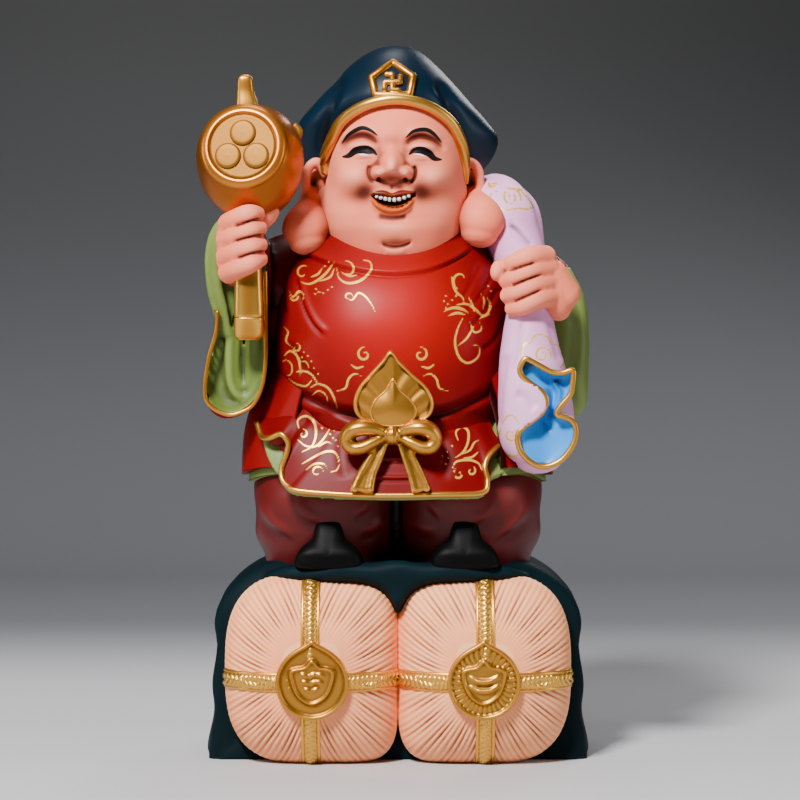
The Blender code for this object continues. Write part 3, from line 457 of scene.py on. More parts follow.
class Finish:
    # one material and the few calls that build it

    def __init__(self, name):
        self.material = bpy.data.materials.new(name)
        self.material.use_nodes = True
        self.tree = self.material.node_tree
        self.shader = self.tree.nodes["Principled BSDF"]

    def put(self, socket, value):
        if isinstance(value, Value):
            self.tree.links.new(value.socket, socket)
        else:
            socket.default_value = value

    def feed(self, name, value):
        self.put(self.shader.inputs[name], value)

    def node(self, kind, output, settings, sockets):
        node = self.tree.nodes.new("ShaderNode" + kind)
        for key, value in settings.items():
            setattr(node, key, value)
        for key, value in sockets.items():
            self.put(node.inputs[key], value)
        return Value(self, node.outputs[output])

    def field(self, name):
        return self.node("Attribute", "Fac", {"attribute_name": name}, {})

    def noise(self, scale, detail=3.0, stretch=(1, 1, 1), rough=0.55, turn=(0, 0, 0)):
        place = self.node("TexCoord", "Object", {}, {})
        place = self.node("Mapping", 0, {}, {"Vector": place, "Scale": stretch, "Rotation": turn})
        return self.node("TexNoise", "Fac", {}, {
            "Vector": place, "Scale": scale / unit / 1000.0, "Detail": detail, "Roughness": rough})

    def blend(self, amount, first, second):
        return self.node("Mix", 2, {"data_type": "RGBA"}, {0: amount, 6: first, 7: second})


def tone(text, alpha=1.0):
    # a colour written as six hex digits, turned into linear light
    parts = [int(text[k:k + 2], 16) / 255.0 for k in (0, 2, 4)]
    return tuple(p / 12.92 if p < 0.04045 else ((p + 0.055) / 1.055) ** 2.4 for p in parts) + (alpha,)


def enamel(name, look, paints=()):
    finish = Finish(name)
    cloud = finish.noise(0.045, 3)
    streak = finish.noise(0.9, 3, look.get("strokes", (1, 1, 0.16)), 0.6, look.get("turn", (0.3, 0.5, 0)))
    grain = finish.noise(3.4, 2)
    hollow = finish.field("hollow") + (cloud - 0.5) * 0.12
    colour = finish.blend(cloud.between(0.3, 0.7), tone(look["low"]), tone(look["base"]))
    colour = finish.blend(streak.between(0.35, 0.75) * look.get("streak", 0.35), colour, tone(look["high"]))
    # painted shade: hollows darken towards the deep colour, partly the statue's own darker paint there and partly shade
    deep = hollow.between(*look.get("hollow", (0.05, 0.9))) * look.get("shade", 0.85)
    colour = finish.blend(deep, colour, tone(look["deep"]))
    # painted highlight: crests lighten towards the high colour, partly rubbed paint and partly highlight
    crest = (0.0 - hollow).between(*look.get("crest", (0.15, 1.1))) * look.get("rubAndHighlight", 0.3)
    colour = finish.blend(crest, colour, tone(look["high"]))
    rough = look.get("rough", 0.42) + (streak - 0.5) * 0.22 + deep * 0.12
    metal = look.get("metal", 0.0)
    height = streak * look.get("brush", 0.5) + grain * look.get("grain", 0.25)
    for key, paint in paints:
        inside = 1.0 - (finish.field(key) + (grain - 0.5) * paint.get("ragged", 0.5)).between(
            -paint.get("soft", 0.35), paint.get("soft", 0.35))
        inside = inside * paint.get("cover", 1.0)
        wash = finish.blend(streak.between(0.3, 0.7), tone(paint["low"]), tone(paint["high"]))
        colour = finish.blend(inside, colour, wash)
        rough = rough * (1.0 - inside) + inside * paint.get("rough", 0.4)
        metal = inside * paint.get("metal", 0.0) + metal
        height = height + inside * paint.get("thick", 0.0)
    finish.feed("Base Color", colour)
    finish.feed("Roughness", rough)
    finish.feed("Metallic", metal)
    finish.feed("Normal", finish.node("Bump", 0, {}, {
        "Height": height, "Strength": look.get("bump", 0.35), "Distance": 0.12 * unit}))
    finish.feed("Specular IOR Level", look.get("specular", 0.36))
    return finish.material


goldPaint = {"low": "A86C10", "high": "ECBC50", "metal": 0.35, "rough": 0.34, "thick": 0.6}
finishes = {
    "red": enamel("robeEnamel", {
        "base": "640204", "low": "4C0103", "high": "900605", "deep": "100001", "rough": 0.42, "specular": 0.12,
        "streak": 0.35, "brush": 0.8, "bump": 0.5, "hollow": (0.05, 1.3), "rubAndHighlight": 0.35},
        # painted highlight: a lighter red where the light falls on the chest and belly
        [("paintedHighlight", {"low": "800304", "high": "AE0A08", "soft": 1.0, "ragged": 0.1, "rough": 0.42}),
         ("gilt", goldPaint)]),
    "skin": enamel("fleshEnamel", {
        "base": "F07454", "low": "E26444", "high": "FFB496", "deep": "300805", "rough": 0.55, "specular": 0.16,
        "streak": 0.25, "brush": 0.4, "bump": 0.25, "hollow": (0.06, 0.9), "shade": 0.8, "rubAndHighlight": 0.35},
        # painted shade under the cheeks, beside the nose, in the lid creases, under the chin, in the ears and between
        # the fingers
        [("paintedShade", {"low": "2C0803", "high": "521607", "soft": 0.6, "ragged": 0.05, "rough": 0.75}),
         ("dark", {"low": "1C0502", "high": "380E06", "soft": 0.4, "rough": 0.5}),
         ("upperLip", {"low": "3E0C04", "high": "7A280E", "soft": 0.3, "ragged": 0.2, "rough": 0.35}),
         ("lowerLip", {"low": "8A2808", "high": "D05C20", "soft": 0.4, "ragged": 0.2, "rough": 0.35}),
         ("ink", {"low": "060606", "high": "101012", "soft": 0.25, "ragged": 0.1, "rough": 0.6}),
         ("eyeWhite", {"low": "D8D0CA", "high": "FFFFFF", "soft": 0.3, "rough": 0.3})]),
    "blue": enamel("capEnamel", {
        "base": "021422", "low": "010D18", "high": "06283E", "deep": "000308", "rough": 0.42, "specular": 0.2,
        "brush": 0.6, "bump": 0.35}),
    "gold": enamel("giltPaint", {
        "base": "B0660E", "low": "864606", "high": "FAC458", "deep": "1A0800", "rough": 0.34,
        "metal": 0.92, "streak": 0.5, "brush": 1.0, "bump": 0.5, "hollow": (0.0, 0.3), "rubAndHighlight": 0.55,
        "crest": (0.05, 0.6)}),
    "copper": enamel("malletGilt", {
        "base": "9A4A0C", "low": "703406", "high": "F09838", "deep": "160700", "rough": 0.32,
        "metal": 0.8, "streak": 0.45, "brush": 0.7, "bump": 0.4}),
    "disc": enamel("discGilt", {
        "base": "6A400C", "low": "6A400C", "high": "A87428", "deep": "1A0A00", "rough": 0.5, "specular": 0.3,
        "metal": 0.7, "streak": 0.8, "strokes": (1, 1, 0.3), "turn": (0.3, 0.9, 0.4), "brush": 1.0, "bump": 0.5,
        "hollow": (0.02, 0.3)}),
    "green": enamel("liningEnamel", {
        "base": "5A6E20", "low": "48581A", "high": "9CAE62", "deep": "0A0E00", "rough": 0.5,
        "hollow": (0.05, 1.0), "bump": 0.3}),
    "maroon": enamel("trouserEnamel", {
        "base": "4A0A0A", "low": "380606", "high": "7A1C1A", "deep": "0C0202", "rough": 0.42, "specular": 0.24,
        "bump": 0.4, "hollow": (0.05, 1.2)}),
    "lavender": enamel("sackEnamel", {
        "base": "D48EC2", "low": "C47AB2", "high": "F2C6E0", "deep": "341648", "rough": 0.55,
        "bump": 0.3}, [("gilt", dict(goldPaint, low="B07810", high="E8BC50", metal=0.2))]),
    "sky": enamel("sackLiningEnamel", {
        "base": "0886E0", "low": "0472CC", "high": "44B4F4", "deep": "043064", "rough": 0.4, "bump": 0.3}),
    "teal": enamel("clothEnamel", {
        "base": "021014", "low": "010B0E", "high": "08242A", "deep": "000203", "rough": 0.6, "specular": 0.07,
        "bump": 0.4, "hollow": (0.05, 1.4)}),
    "straw": enamel("strawEnamel", {
        "base": "FF965C", "low": "F68C56", "high": "FFD0A0", "deep": "5E2410", "rough": 0.6, "specular": 0.2,
        "bump": 0.3, "hollow": (0.0, 0.26), "shade": 0.9, "crest": (0.0, 0.3), "rubAndHighlight": 0.5}),
    "black": enamel("clogEnamel", {
        "base": "020202", "low": "010101", "high": "09090A", "deep": "000000", "rough": 0.5, "specular": 0.07,
        "bump": 0.3}),
    "white": enamel("toothEnamel", {
        "base": "CFCBC0", "low": "B8B2A6", "high": "EAE8E2", "deep": "5A4038", "rough": 0.3, "shade": 0.3}),
}
print("finishes made")


# The head

headLook = {"levels": 204, "around": 196, "browThick": 2.2, "eyeThick": 3.7, "cheek": 5.6, "nose": 9.6}
headRows = [
    (218.0, -0.8, -2.0, 13.0, -25.0, 12.0), (221.6, -1.0, -2.0, 21.5, -33.4, 18.0),
    (226.6, -1.2, -2.0, 27.2, -37.0, 24.0), (235.0, -1.8, -2.0, 31.4, -38.6, 28.0),
    (241.0, -2.0, -2.0, 32.8, -39.0, 30.0), (246.0, -2.0, -2.0, 33.2, -39.2, 31.0),
    (251.0, -1.7, -2.0, 33.0, -39.3, 31.0), (256.0, -1.1, -2.0, 32.0, -39.1, 31.0),
    (261.0, -0.8, -2.0, 31.2, -38.8, 31.0), (266.0, -0.8, -2.0, 30.8, -38.4, 31.0),
    (271.0, -0.8, -2.0, 30.2, -37.8, 31.0), (276.0, -0.8, -2.0, 29.4, -36.8, 31.0),
    (283.0, -0.8, -1.0, 27.2, -34.6, 30.0), (291.0, -0.8, 0.0, 22.6, -29.5, 26.0),
    (298.0, -0.8, 2.0, 14.0, -20.0, 18.0),
]
brows = [[(342, 143.5), (349, 134.5), (361, 128), (370, 130), (377.5, 135.6)],
         [(406, 137.5), (414, 131), (425.5, 129.6), (434, 134), (441.5, 142.5)]]
eyes = [[(343, 156.8), (349, 155.6), (356, 150.5), (366, 148.6), (372, 150.6), (376.6, 154.4)],
        [(409.6, 154), (415, 150.2), (422, 150), (429, 153.4), (434.5, 158.4), (441, 159.6)]]
creases = [[(338.5, 151), (347, 140.5), (361, 135.4), (372, 138.5), (378.4, 147)],
           [(405, 148), (411, 139.5), (422, 136.4), (436, 141.5), (444.5, 152)]]
lipTop = [(371.5, 193.6), (376, 191.2), (381.5, 190), (387, 191), (392, 193), (397.5, 191), (403, 190),
          (410, 190.6), (416.8, 191.4)]
lipUnder = [(371.5, 194), (380, 196.2), (392, 198.2), (403, 197), (411, 194.6), (416.8, 191.8)]
lowerInner = [(373, 198), (378, 202.0), (385, 205.2), (392.7, 206.4), (401, 205.2), (408, 201.6), (413.6, 197)]
lowerOuter = [(370.2, 200.4), (375, 207.4), (384, 213), (392.7, 214.4), (402, 213), (410, 208), (414.8, 201.6)]
noseWings = [[(370.5, 165), (368.2, 171), (369.6, 178), (374, 183)],
             [(413.5, 165), (415.8, 171), (414.6, 178), (410, 183.4)]]
underCheeks = [[(368, 174), (370.5, 183), (368, 191), (358, 196.5), (347, 196), (336, 190)],
               [(415, 174), (413.5, 183), (417, 190.5), (427, 195.6), (438, 195), (449, 189)]]


# painted shade in the face's hollows, under the nose and under the chin: place, width, height above and below, strength
paintedShadeKnobs = [
    (394, 264, 46, 9, 8, 0.7), (395, 242, 15, 5, 3.4, 0.7), (391, 179, 8, 6, 4, 0.75), (391, 140, 12, 6, 6, 0.45),
    (382, 178, 5, 3, 3, 0.3), (401, 178, 6, 3, 3, 0.4), (365, 158, 11, 1.8, 2.4, 0.55),
    (421, 160, 11, 1.8, 2.4, 0.55), (379, 150, 4, 7, 7, 0.5), (405, 151, 4, 7, 7, 0.5),
    (392.7, 216.5, 17, 2.4, 4, 0.45), (325, 236, 7, 26, 26, 0.45), (464, 236, 7, 26, 26, 0.45),
]


def curveAt(path, u):
    line = evenly(path, 80)
    return np.interp(u, line[:, 0], line[:, 1])


def faceRelief(u, v):
    look = headLook
    rise = knobs(u, v, [(348, 176, 18, 15, 14, look["cheek"]), (438, 177, 18, 15, 14, look["cheek"]),
                        (346, 216, 24, 18, 20, 2.2), (442, 216, 24, 18, 20, 2.2), (391.5, 152, 9.5, 16, 14, 2.6)])
    tip = 1 - ease(np.hypot((u - 391.4) / 15.5, (v - 169.0) / np.where(v < 169.0, 19.0, 15.5)), 0.05, 1.05)
    bulbs = (look["nose"] * tip) ** 2
    for middle in (379.6, 404.0):
        away = np.hypot((u - middle) / 10.6, (v - 173.0) / 10.0)
        bulbs = bulbs + (look["nose"] * 0.55 * (1 - ease(away, 0.15, 1.0))) ** 2
    rise += np.sqrt(bulbs)
    for path in noseWings:
        rise -= groove(u, v, path, 2.2, 1.6)
    rise -= knob(u, v, 378.9, 179.2, 3.4, 2.2, 2.0, 3.4) + knob(u, v, 405.2, 179.4, 3.4, 2.2, 2.0, 3.4)
    rise -= groove(u, v, [(392, 184), (392, 189.5)], 2.0, 0.6)
    for path in creases:
        rise -= groove(u, v, path, 3.6, 2.0)
    for path in brows:
        rise += groove(u, v, path, 5.0, 0.9)
    rise += knob(u, v, 361, 145.8, 14, 5, 5, 2.3) + knob(u, v, 424, 147, 14, 5, 5, 2.3)
    rise += knob(u, v, 365, 159.5, 12, 3, 4, 1.1) + knob(u, v, 420, 161, 12, 3, 4, 1.1)
    for path in eyes:
        rise -= groove(u, v, path, 2.4, 1.3)
    top, under = curveAt(lipTop, u), curveAt(lipUnder, u)
    inner, outer = curveAt(lowerInner, u), curveAt(lowerOuter, u)
    span = ease(u, 370.5, 374) * (1 - ease(u, 413, 416.5))
    rise += 1.5 * span * np.exp(-(((v - (top + under) / 2) / 2.9) ** 2))
    lowerSpan = ease(u, 369, 377) * (1 - ease(u, 408, 416))
    rise += 2.6 * lowerSpan * np.exp(-(((v - (inner + outer) / 2 - 0.4) / 3.8) ** 2))
    rise -= 3.9 * span * ease(v, under - 0.8, under + 0.9) * (1 - ease(v, inner - 1.2, inner + 1.0))
    rise -= groove(u, v, [(377, 216), (392, 219.5), (408, 216.5)], 4.0, 0.9)
    rise += knob(u, v, 394, 229, 26, 9, 12, 2.4)
    rise -= groove(u, v, [(380, 242), (387, 245.6), (395, 246.6), (404, 245), (413, 240.6)], 2.2, 1.5)
    rise += groove(u, v, [(384, 251), (395, 253), (406, 250.5)], 4.0, 0.7)
    return rise


def makeHead():
    rings = standing(headRows, headLook["levels"], headLook["around"], 3.8, 2.2)
    u, v = pictureOf(rings)
    facing = ease(-rings[..., 1], 12.0, 27.0)
    rings[..., 1] -= faceRelief(u, v) * facing
    mesh = plainMesh("face", *skinOf(rings))
    points = pointsOf(mesh)
    u, v = pictureOf(points)
    behind = np.where(points[:, 1] > -12.0, 30.0, 0.0)
    browField = strokeField(u, v, [(path, headLook["browThick"], 0.75) for path in brows])
    eyeField = strokeField(u, v, [(path, headLook["eyeThick"], 0.72) for path in eyes])
    top, under = curveAt(lipTop, u), curveAt(lipUnder, u)
    inner, outer = curveAt(lowerInner, u), curveAt(lowerOuter, u)
    upper = np.maximum.reduce([top - v, v - under, 371.8 - u, u - 416.6])
    lower = np.maximum.reduce([inner - v, v - outer, 371.0 - u, u - 414.6])
    dark = np.maximum.reduce([under - v, v - inner, 373.0 - u, u - 415.4])
    # painted shade in the nostrils; the mouth between the lips gets dark paint
    nostril = np.minimum(np.hypot((u - 378.6) / 1.5, v - 178.3) - 1.5, np.hypot((u - 405.4) / 1.5, v - 179) - 1.5)
    # painted shade below the cheeks round the mouth corners, along the lid creases, beside the nose wings and in the
    # other hollows
    paintedShadeAmount = np.zeros(len(points))
    for path, corner, side in zip(underCheeks, (366, 419), (-1, 1)):
        paintedShadeAmount += groove(u, v, path, 9.0, 0.38, 0.5) + knob(u, v, corner, 191, 10, 14, 12, 0.54)
        paintedShadeAmount += knob(u, v, corner + side * 13, 192, 18, 12, 9, 0.36)
    for path in creases:
        shifted = [(a, b - 0.4) for a, b in path]
        paintedShadeAmount += groove(u, v, shifted, 4.4, 1.0, 0.3)
    paintedShadeAmount += groove(u, v, noseWings[0], 1.8, 0.3) + groove(u, v, noseWings[1], 1.6, 0.95)
    paintedShadeAmount += knobs(u, v, paintedShadeKnobs)
    pupils = strokeField(u, v, [([(354, 151.8), (362, 150.6), (371.5, 152.8)], 3.2, 0.6),
                                ([(411.5, 151.4), (419, 150.8), (429, 154)], 3.2, 0.6)])
    white = strokeField(u, v, [([(358.4, 154.7), (363.4, 154.4), (368.4, 155.2)], 0.65, 0.6),
                               ([(414.6, 154.4), (419.8, 154.4), (425, 156.2)], 0.65, 0.6)])
    addPiece("face", mesh, "skin", 60, {
        "ink": np.minimum.reduce([browField, eyeField, pupils]) + behind, "upperLip": upper + behind,
        "lowerLip": lower + behind, "dark": np.minimum(dark, nostril) + behind,
        "paintedShade": 0.5 - np.clip(paintedShadeAmount, 0, 1.1) + behind, "eyeWhite": white + behind})
    teeth = []
    for u0, v0, half, tall in ((376.6, 196.8, 1.6, 1.5), (380.8, 197.9, 1.9, 1.9), (385.4, 198.9, 1.9, 2.2),
                               (389.6, 199.6, 1.6, 2.4), (394.4, 199.8, 1.9, 2.4), (399.2, 199.2, 2.0, 2.2),
                               (404.2, 197.8, 1.9, 2.0), (408.8, 196.2, 1.7, 1.7)):
        centre = atPicture(u0, v0, -43.2 + 0.010 * (u0 - 392) ** 2)
        tall *= 0.86
        radii = np.array([half * 0.46, 1.5, tall * 0.46])
        rings = egg(centre, radii, 16, 10)
        teeth.append(skinOf(centre + power((rings - centre) / radii, 3.2) * radii))
    addShells("teeth", teeth, "white", 4)


def bareSkin(count, paintedShade):
    # paint fields for skin that has no brows, eyes or lips
    bare = {key: np.full(count, 9.0) for key in ("ink", "upperLip", "lowerLip", "dark", "eyeWhite")}
    return dict(bare, paintedShade=paintedShade)


def makeEars():
    for side, name, middle in ((-1, "earLeft", -37.4), (1, "earRight", 32.8)):
        shells = [skinOf(egg((middle, 3.0, 255.5), (6.6, 3.4, 10.6), 30, 20, side * 8.0))]
        rim = [(middle + side * 4.0, -3.0, 246.0, 2.2), (middle + side * 4.2, -4.4, 257.0, 2.2),
               (middle + side * 3.0, -5.0, 264.0, 2.3), (middle - side * 1.2, -4.6, 267.0, 2.2),
               (middle - side * 4.6, -3.0, 261.0, 2.0)]
        shells.append(skinOf(swept(rim, 14, 30)))
        shells.append(skinOf(swept([(middle - side * 3.8, -4.0, 255.0, 1.9), (middle - side * 3.0, -5.2, 250.5, 2.0),
                                    (middle - side * 0.2, -5.0, 246.5, 2.0)], 12, 16)))
        base = side * 36.8 - 1.8 - 0.5 * (side < 0)
        drop = 2.4 if side < 0 else -0.8
        lobe = [(middle + side * 1.0, -1.0, 252.0, 5.2), (base + side * 0.6, -6.0, 247.5 - 0.7 * drop, 6.4),
                (base + side * 1.4, -14.0, 242.0 - drop, 9.8), (base + side * 1.8, -18.0, 238.0 - drop, 10.8),
                (base + side * 1.2, -19.0, 233.6 - drop, 8.6)]
        shells.append(skinOf(swept(lobe, 30, 30)))
        mesh = melted(name, shells, 0.8, 5)
        points = pointsOf(mesh)
        # painted shade in the ear's hollow and on its side towards the head
        shade = 0.5 - 1.1 * np.exp(-(((points[:, 0] - middle - side * 0.4) / 2.4) ** 2)
                                    - ((points[:, 2] - 256) / 6.5) ** 2 - ((points[:, 1] + 0.5) / 4.0) ** 2)
        inward = ease(-side * (points[:, 0] - middle), -1.0, 7.0)
        addPiece(name, mesh, "skin", 15, bareSkin(len(points), shade - 0.55 * inward))


# The cap

capLook = {"levels": 110, "around": 150, "strand": 0.22, "ripple": 0.7}
capRows = [
    (262.0, -1.5, 8.0, 36.0, -6.0, 30.0), (265.0, -1.5, 8.0, 41.0, -9.0, 34.0),
    (272.0, -0.6, 8.0, 44.8, -13.0, 37.5), (279.0, -0.7, 7.0, 45.9, -17.0, 38.0),
    (286.0, -2.2, 6.0, 42.4, -22.5, 37.0), (293.5, -2.4, 5.0, 35.8, -28.2, 34.0),
    (301.0, -2.2, 4.0, 29.0, -27.0, 29.5), (308.5, -2.2, 4.0, 22.0, -22.0, 24.0),
    (314.5, -1.8, 4.0, 15.2, -15.5, 18.5), (318.4, -1.0, 4.0, 8.6, -7.5, 12.0),
    (319.9, -0.8, 4.0, 1.6, 2.4, 5.6),
]
badge = {"frame": [(375.6, 95), (371.6, 77.5), (393, 62.5), (413, 76.5), (409.6, 95)], "thick": 1.8,
         "centre": (392.4, 82.6), "arm": 7.8, "bar": 1.55}


def capFront(z):
    return float(np.interp(z, [262, 272, 279, 286, 293.5, 301, 308.5, 314.5, 318.4],
                           [-6, -13, -17, -22.5, -28.2, -27, -22, -15.5, -7.5]))


def onCap(u, v, out=0.0):
    # the point of the cap's front that lies at a place in the frame
    y = -27.0
    for _ in range(6):
        point = atPicture(u, v, y)
        across = min(abs(point[0] + 0.8) / 36.0, 0.95)
        y = 4.0 + (capFront(point[2]) - 4.0) * (1.0 - across**2) ** 0.5
    return np.array([point[0], y - out, point[2]])


def makeCap():
    rings = standing(capRows, capLook["levels"], capLook["around"], 1.6, 1.9)
    u, v = pictureOf(rings)
    front = ease(-rings[..., 1], -10.0, 2.0)
    amount = -front * (groove(u, v, [(345, 72), (334, 96), (327, 125), (322, 156)], 6.0, 1.6)
                       + groove(u, v, [(434, 78), (448, 100), (458, 130), (466, 160)], 6.0, 2.0))
    angle = np.arctan2(rings[..., 0], rings[..., 1])
    back = ease(rings[..., 1], 6.0, 20.0)
    amount += capLook["ripple"] * back * np.cos(angle * 7.0) * ease(305.0 - rings[..., 2], 0.0, 30.0)
    addShells("cap", [skinOf(pushed(rings, amount))], "blue", 30)
    band = [
        (-33.6, -11.0, 266.0, 1.5), (-32.6, -13.5, 269.0, 2.3), (-31.0, -16.6, 273.0, 2.6), (-29.0, -20.0, 277.0, 2.7),
        (-24.2, -25.8, 284.4, 2.6), (-14.0, -30.8, 290.4, 2.5), (-1.0, -32.6, 292.8, 2.5),
        (12.2, -30.8, 290.4, 2.5), (22.6, -25.8, 284.0, 2.6), (27.8, -20.0, 275.6, 2.6),
        (29.4, -16.0, 269.0, 2.5), (30.0, -12.5, 263.0, 2.2), (30.3, -11.0, 257.5, 1.2),
    ]
    rings = swept(band, 20, 180)
    count = len(rings)
    share = np.abs(np.arange(count)[:, None] / (count - 1.0) * 2 - 1)
    turn = np.arange(20)[None, :] / 20 * 2 * math.pi
    strands = capLook["strand"] * np.sin(turn * 6 + share * 14.0) * ease(share, 0.3, 0.55)
    shells = [skinOf(pushed(rings, strands))]
    # strips of gilt hair before the ears
    for path in ([(328, 146, 2.2), (325.4, 160, 2.5), (325.2, 172, 2.0)],
                 [(330, 148, 1.8), (329, 162, 1.9), (329, 173, 1.2)]):
        shells.append(skinOf(swept(placed(path, -10.0), 12, 30)))
    addShells("browBand", shells, "gold", 6)
    shells = []
    corners = badge["frame"]
    for first, second in zip(corners, corners[1:] + corners[:1]):
        ends = [onCap(*first, 0.2), onCap((first[0] + second[0]) / 2, (first[1] + second[1]) / 2, 0.2),
                onCap(*second, 0.2)]
        shells.append(skinOf(swept([(*p, badge["thick"]) for p in ends], 14, 12, 1.0, 0.9)))
    arm = badge["arm"]
    middle = badge["centre"]
    # a cross whose arms turn the way of the Buddhist sign: the upper arm to the left
    for dx, dy in ((0, -1), (1, 0), (0, 1), (-1, 0)):
        tip = (middle[0] + dx * arm, middle[1] + dy * arm)
        hook = (tip[0] + dy * arm * 0.86, tip[1] - dx * arm * 0.86)
        for start, end in ((middle, tip), (tip, hook)):
            ends = [onCap(*start, 0.8), onCap((start[0] + end[0]) / 2, (start[1] + end[1]) / 2, 0.8),
                    onCap(*end, 0.8)]
            shells.append(skinOf(swept([(*p, badge["bar"] * 0.8) for p in ends], 12, 8, 0.9, 0.6, 3.0)))
    addMelted("capBadge", shells, 0.34, 2, "gold", 6)


# The robe

robeLook = {"levels": 236, "around": 214, "overhang": 3.2, "backFold": 0.6}
bodyRows = [
    (122.0, -1.0, 0.0, 40.0, -36.0, 33.0), (126.0, -1.0, 0.0, 46.0, -42.0, 36.0),
    (134.0, -1.5, 0.0, 49.0, -44.5, 38.0), (146.0, -2.0, 0.0, 50.0, -43.0, 38.0),
    (153.0, -2.0, 0.0, 51.0, -43.5, 38.5), (160.0, -2.3, 0.0, 52.5, -48.0, 39.0),
    (175.0, -2.6, 0.0, 53.5, -51.2, 40.0), (190.0, -2.6, 0.0, 53.5, -51.2, 41.0),
    (203.0, -2.2, 0.0, 52.5, -48.0, 41.0), (214.0, -2.0, 0.0, 50.0, -42.5, 39.0),
    (223.0, -2.0, 1.0, 45.5, -35.5, 35.0), (230.0, -1.5, 2.0, 41.0, -29.5, 31.0),
    (235.5, -1.0, 3.0, 33.5, -24.0, 26.0),
]
robeFolds = [  # column and row path, half width, depth
    ([(297, 276), (299, 290), (304, 308), (313, 325), (326, 338)], 2.3, 2.0),
    ([(298, 256), (288, 272), (284, 292), (285, 316)], 2.4, 1.2),
    ([(500, 286), (486, 310), (468, 330)], 2.6, 1.1), ([(480, 262), (471, 284), (462, 300)], 2.6, 0.9),
    ([(497, 268), (482, 294), (466, 312)], 2.4, 0.9), ([(508, 312), (498, 335), (482, 352)], 3.2, 1.0),
    ([(288, 340), (300, 362), (318, 380)], 5.0, 0.6),
]
collarLine = [(303, 253), (328, 263), (349, 269), (375, 273.5), (400, 274.5), (427, 270.8), (450, 262), (472, 249)]


def chestStrokes():
    s = Strokes()
    # upper left chest
    s.add(spiral(303, 273, 8, 0.75, 60, 1))
    s.add([(301, 282), (309, 284), (318, 280), (327, 272), (334, 262)], 1.2)
    s.add([(311, 277), (318, 274), (322, 268)], 1.0)
    s.add([(320, 281), (330, 277), (334, 269)], 1.0)
    s.add(spiral(347, 271, 10.5, 0.55, 100, -1), 1.0)
    s.add([(337, 268), (339, 278), (348, 283), (361, 280), (371, 270), (370, 262), (363, 260)], 1.2)
    s.add([(341, 272), (349, 276), (357, 275)], 0.8)
    s.add(spiral(295, 296, 6, 0.7, 180, 1), 0.9)
    s.add([(289, 290), (293, 297), (299, 291), (304, 296), (300, 303)], 0.9)
    s.add([(345, 297), (352, 300), (358, 293), (365, 296), (372, 305), (375, 312)], 1.0)
    s.add(spiral(348, 297, 5, 0.8, 0, 1), 0.9)
    s.dots([(316, 289), (319, 292), (323, 293), (315, 294), (328, 290), (332, 287), (329, 262), (325, 266)])
    # right chest
    s.add(spiral(462, 279, 11, 0.6, 250, -1), 1.1)
    s.add([(451, 276), (455, 290), (462, 297), (465, 303)], 1.1)
    s.add([(443, 312), (452, 308), (462, 309), (470, 314)], 1.4, 0.9)
    s.add([(448, 316), (457, 313), (466, 315)], 1.3, 0.9)
    s.add([(456, 305), (466, 304), (475, 309), (483, 316), (490, 314)], 1.2)
    s.add([(468, 296), (472, 304), (474, 312)], 1.2, 0.9)
    s.add([(480, 292), (484, 300), (483, 310)], 1.0, 0.8)
    s.add([(487, 297), (490, 304), (488, 311)], 1.0, 0.8)
    s.add([(492, 306), (487, 314), (479, 319)], 1.0, 0.8)
    s.add([(463, 318), (458, 328), (455, 342), (459, 357), (468, 363), (478, 357), (479, 347), (473, 345)], 1.2)
    s.add([(470, 322), (474, 332), (481, 330), (480, 322)], 1.0)
    s.add([(459, 345), (467, 338), (474, 326)], 1.1)
    s.dots([(446, 296), (444, 301), (448, 304), (452, 300), (446, 308), (456, 296), (488, 286), (491, 291)])
    # left side of the belly
    s.add([(284, 327), (288, 332), (286, 341), (292, 347)], 1.0)
    s.add(spiral(296, 348, 5, 0.9, 90, -1), 1.0)
    s.add([(284, 356), (290, 351), (297, 356), (300, 366), (300, 378)], 1.2)
    s.add([(282, 362), (287, 360), (292, 366), (291, 374), (286, 376)], 0.9)
    s.add([(288, 378), (296, 384), (306, 386), (312, 380)], 1.1)
    s.add([(296, 372), (304, 371), (312, 375), (318, 384)], 1.1)
    s.add([(300, 362), (306, 362), (309, 368)], 0.9)
    s.add([(310, 388), (318, 384), (328, 388), (334, 398), (337, 408)], 1.2)
    s.add([(312, 396), (318, 391), (325, 394), (328, 402)], 0.9)
    s.dots([(304, 352), (308, 356), (311, 361), (302, 357), (314, 368), (318, 374)])
    # beside the ornament
    middle = 392.5
    for side in (-1, 1):
        top = middle + side * 28
        s.add(spiral(top, 354.5, 7.5, 1.1, 90, -side), 1.2)
        s.add([(middle + side * 42, 364), (middle + side * 36, 368), (middle + side * 28, 366)], 1.1)
        s.add([(middle + side * 31, 376), (middle + side * 38, 374), (middle + side * 44, 379),
               (middle + side * 47, 388), (middle + side * 56, 391)], 1.1)
    return s


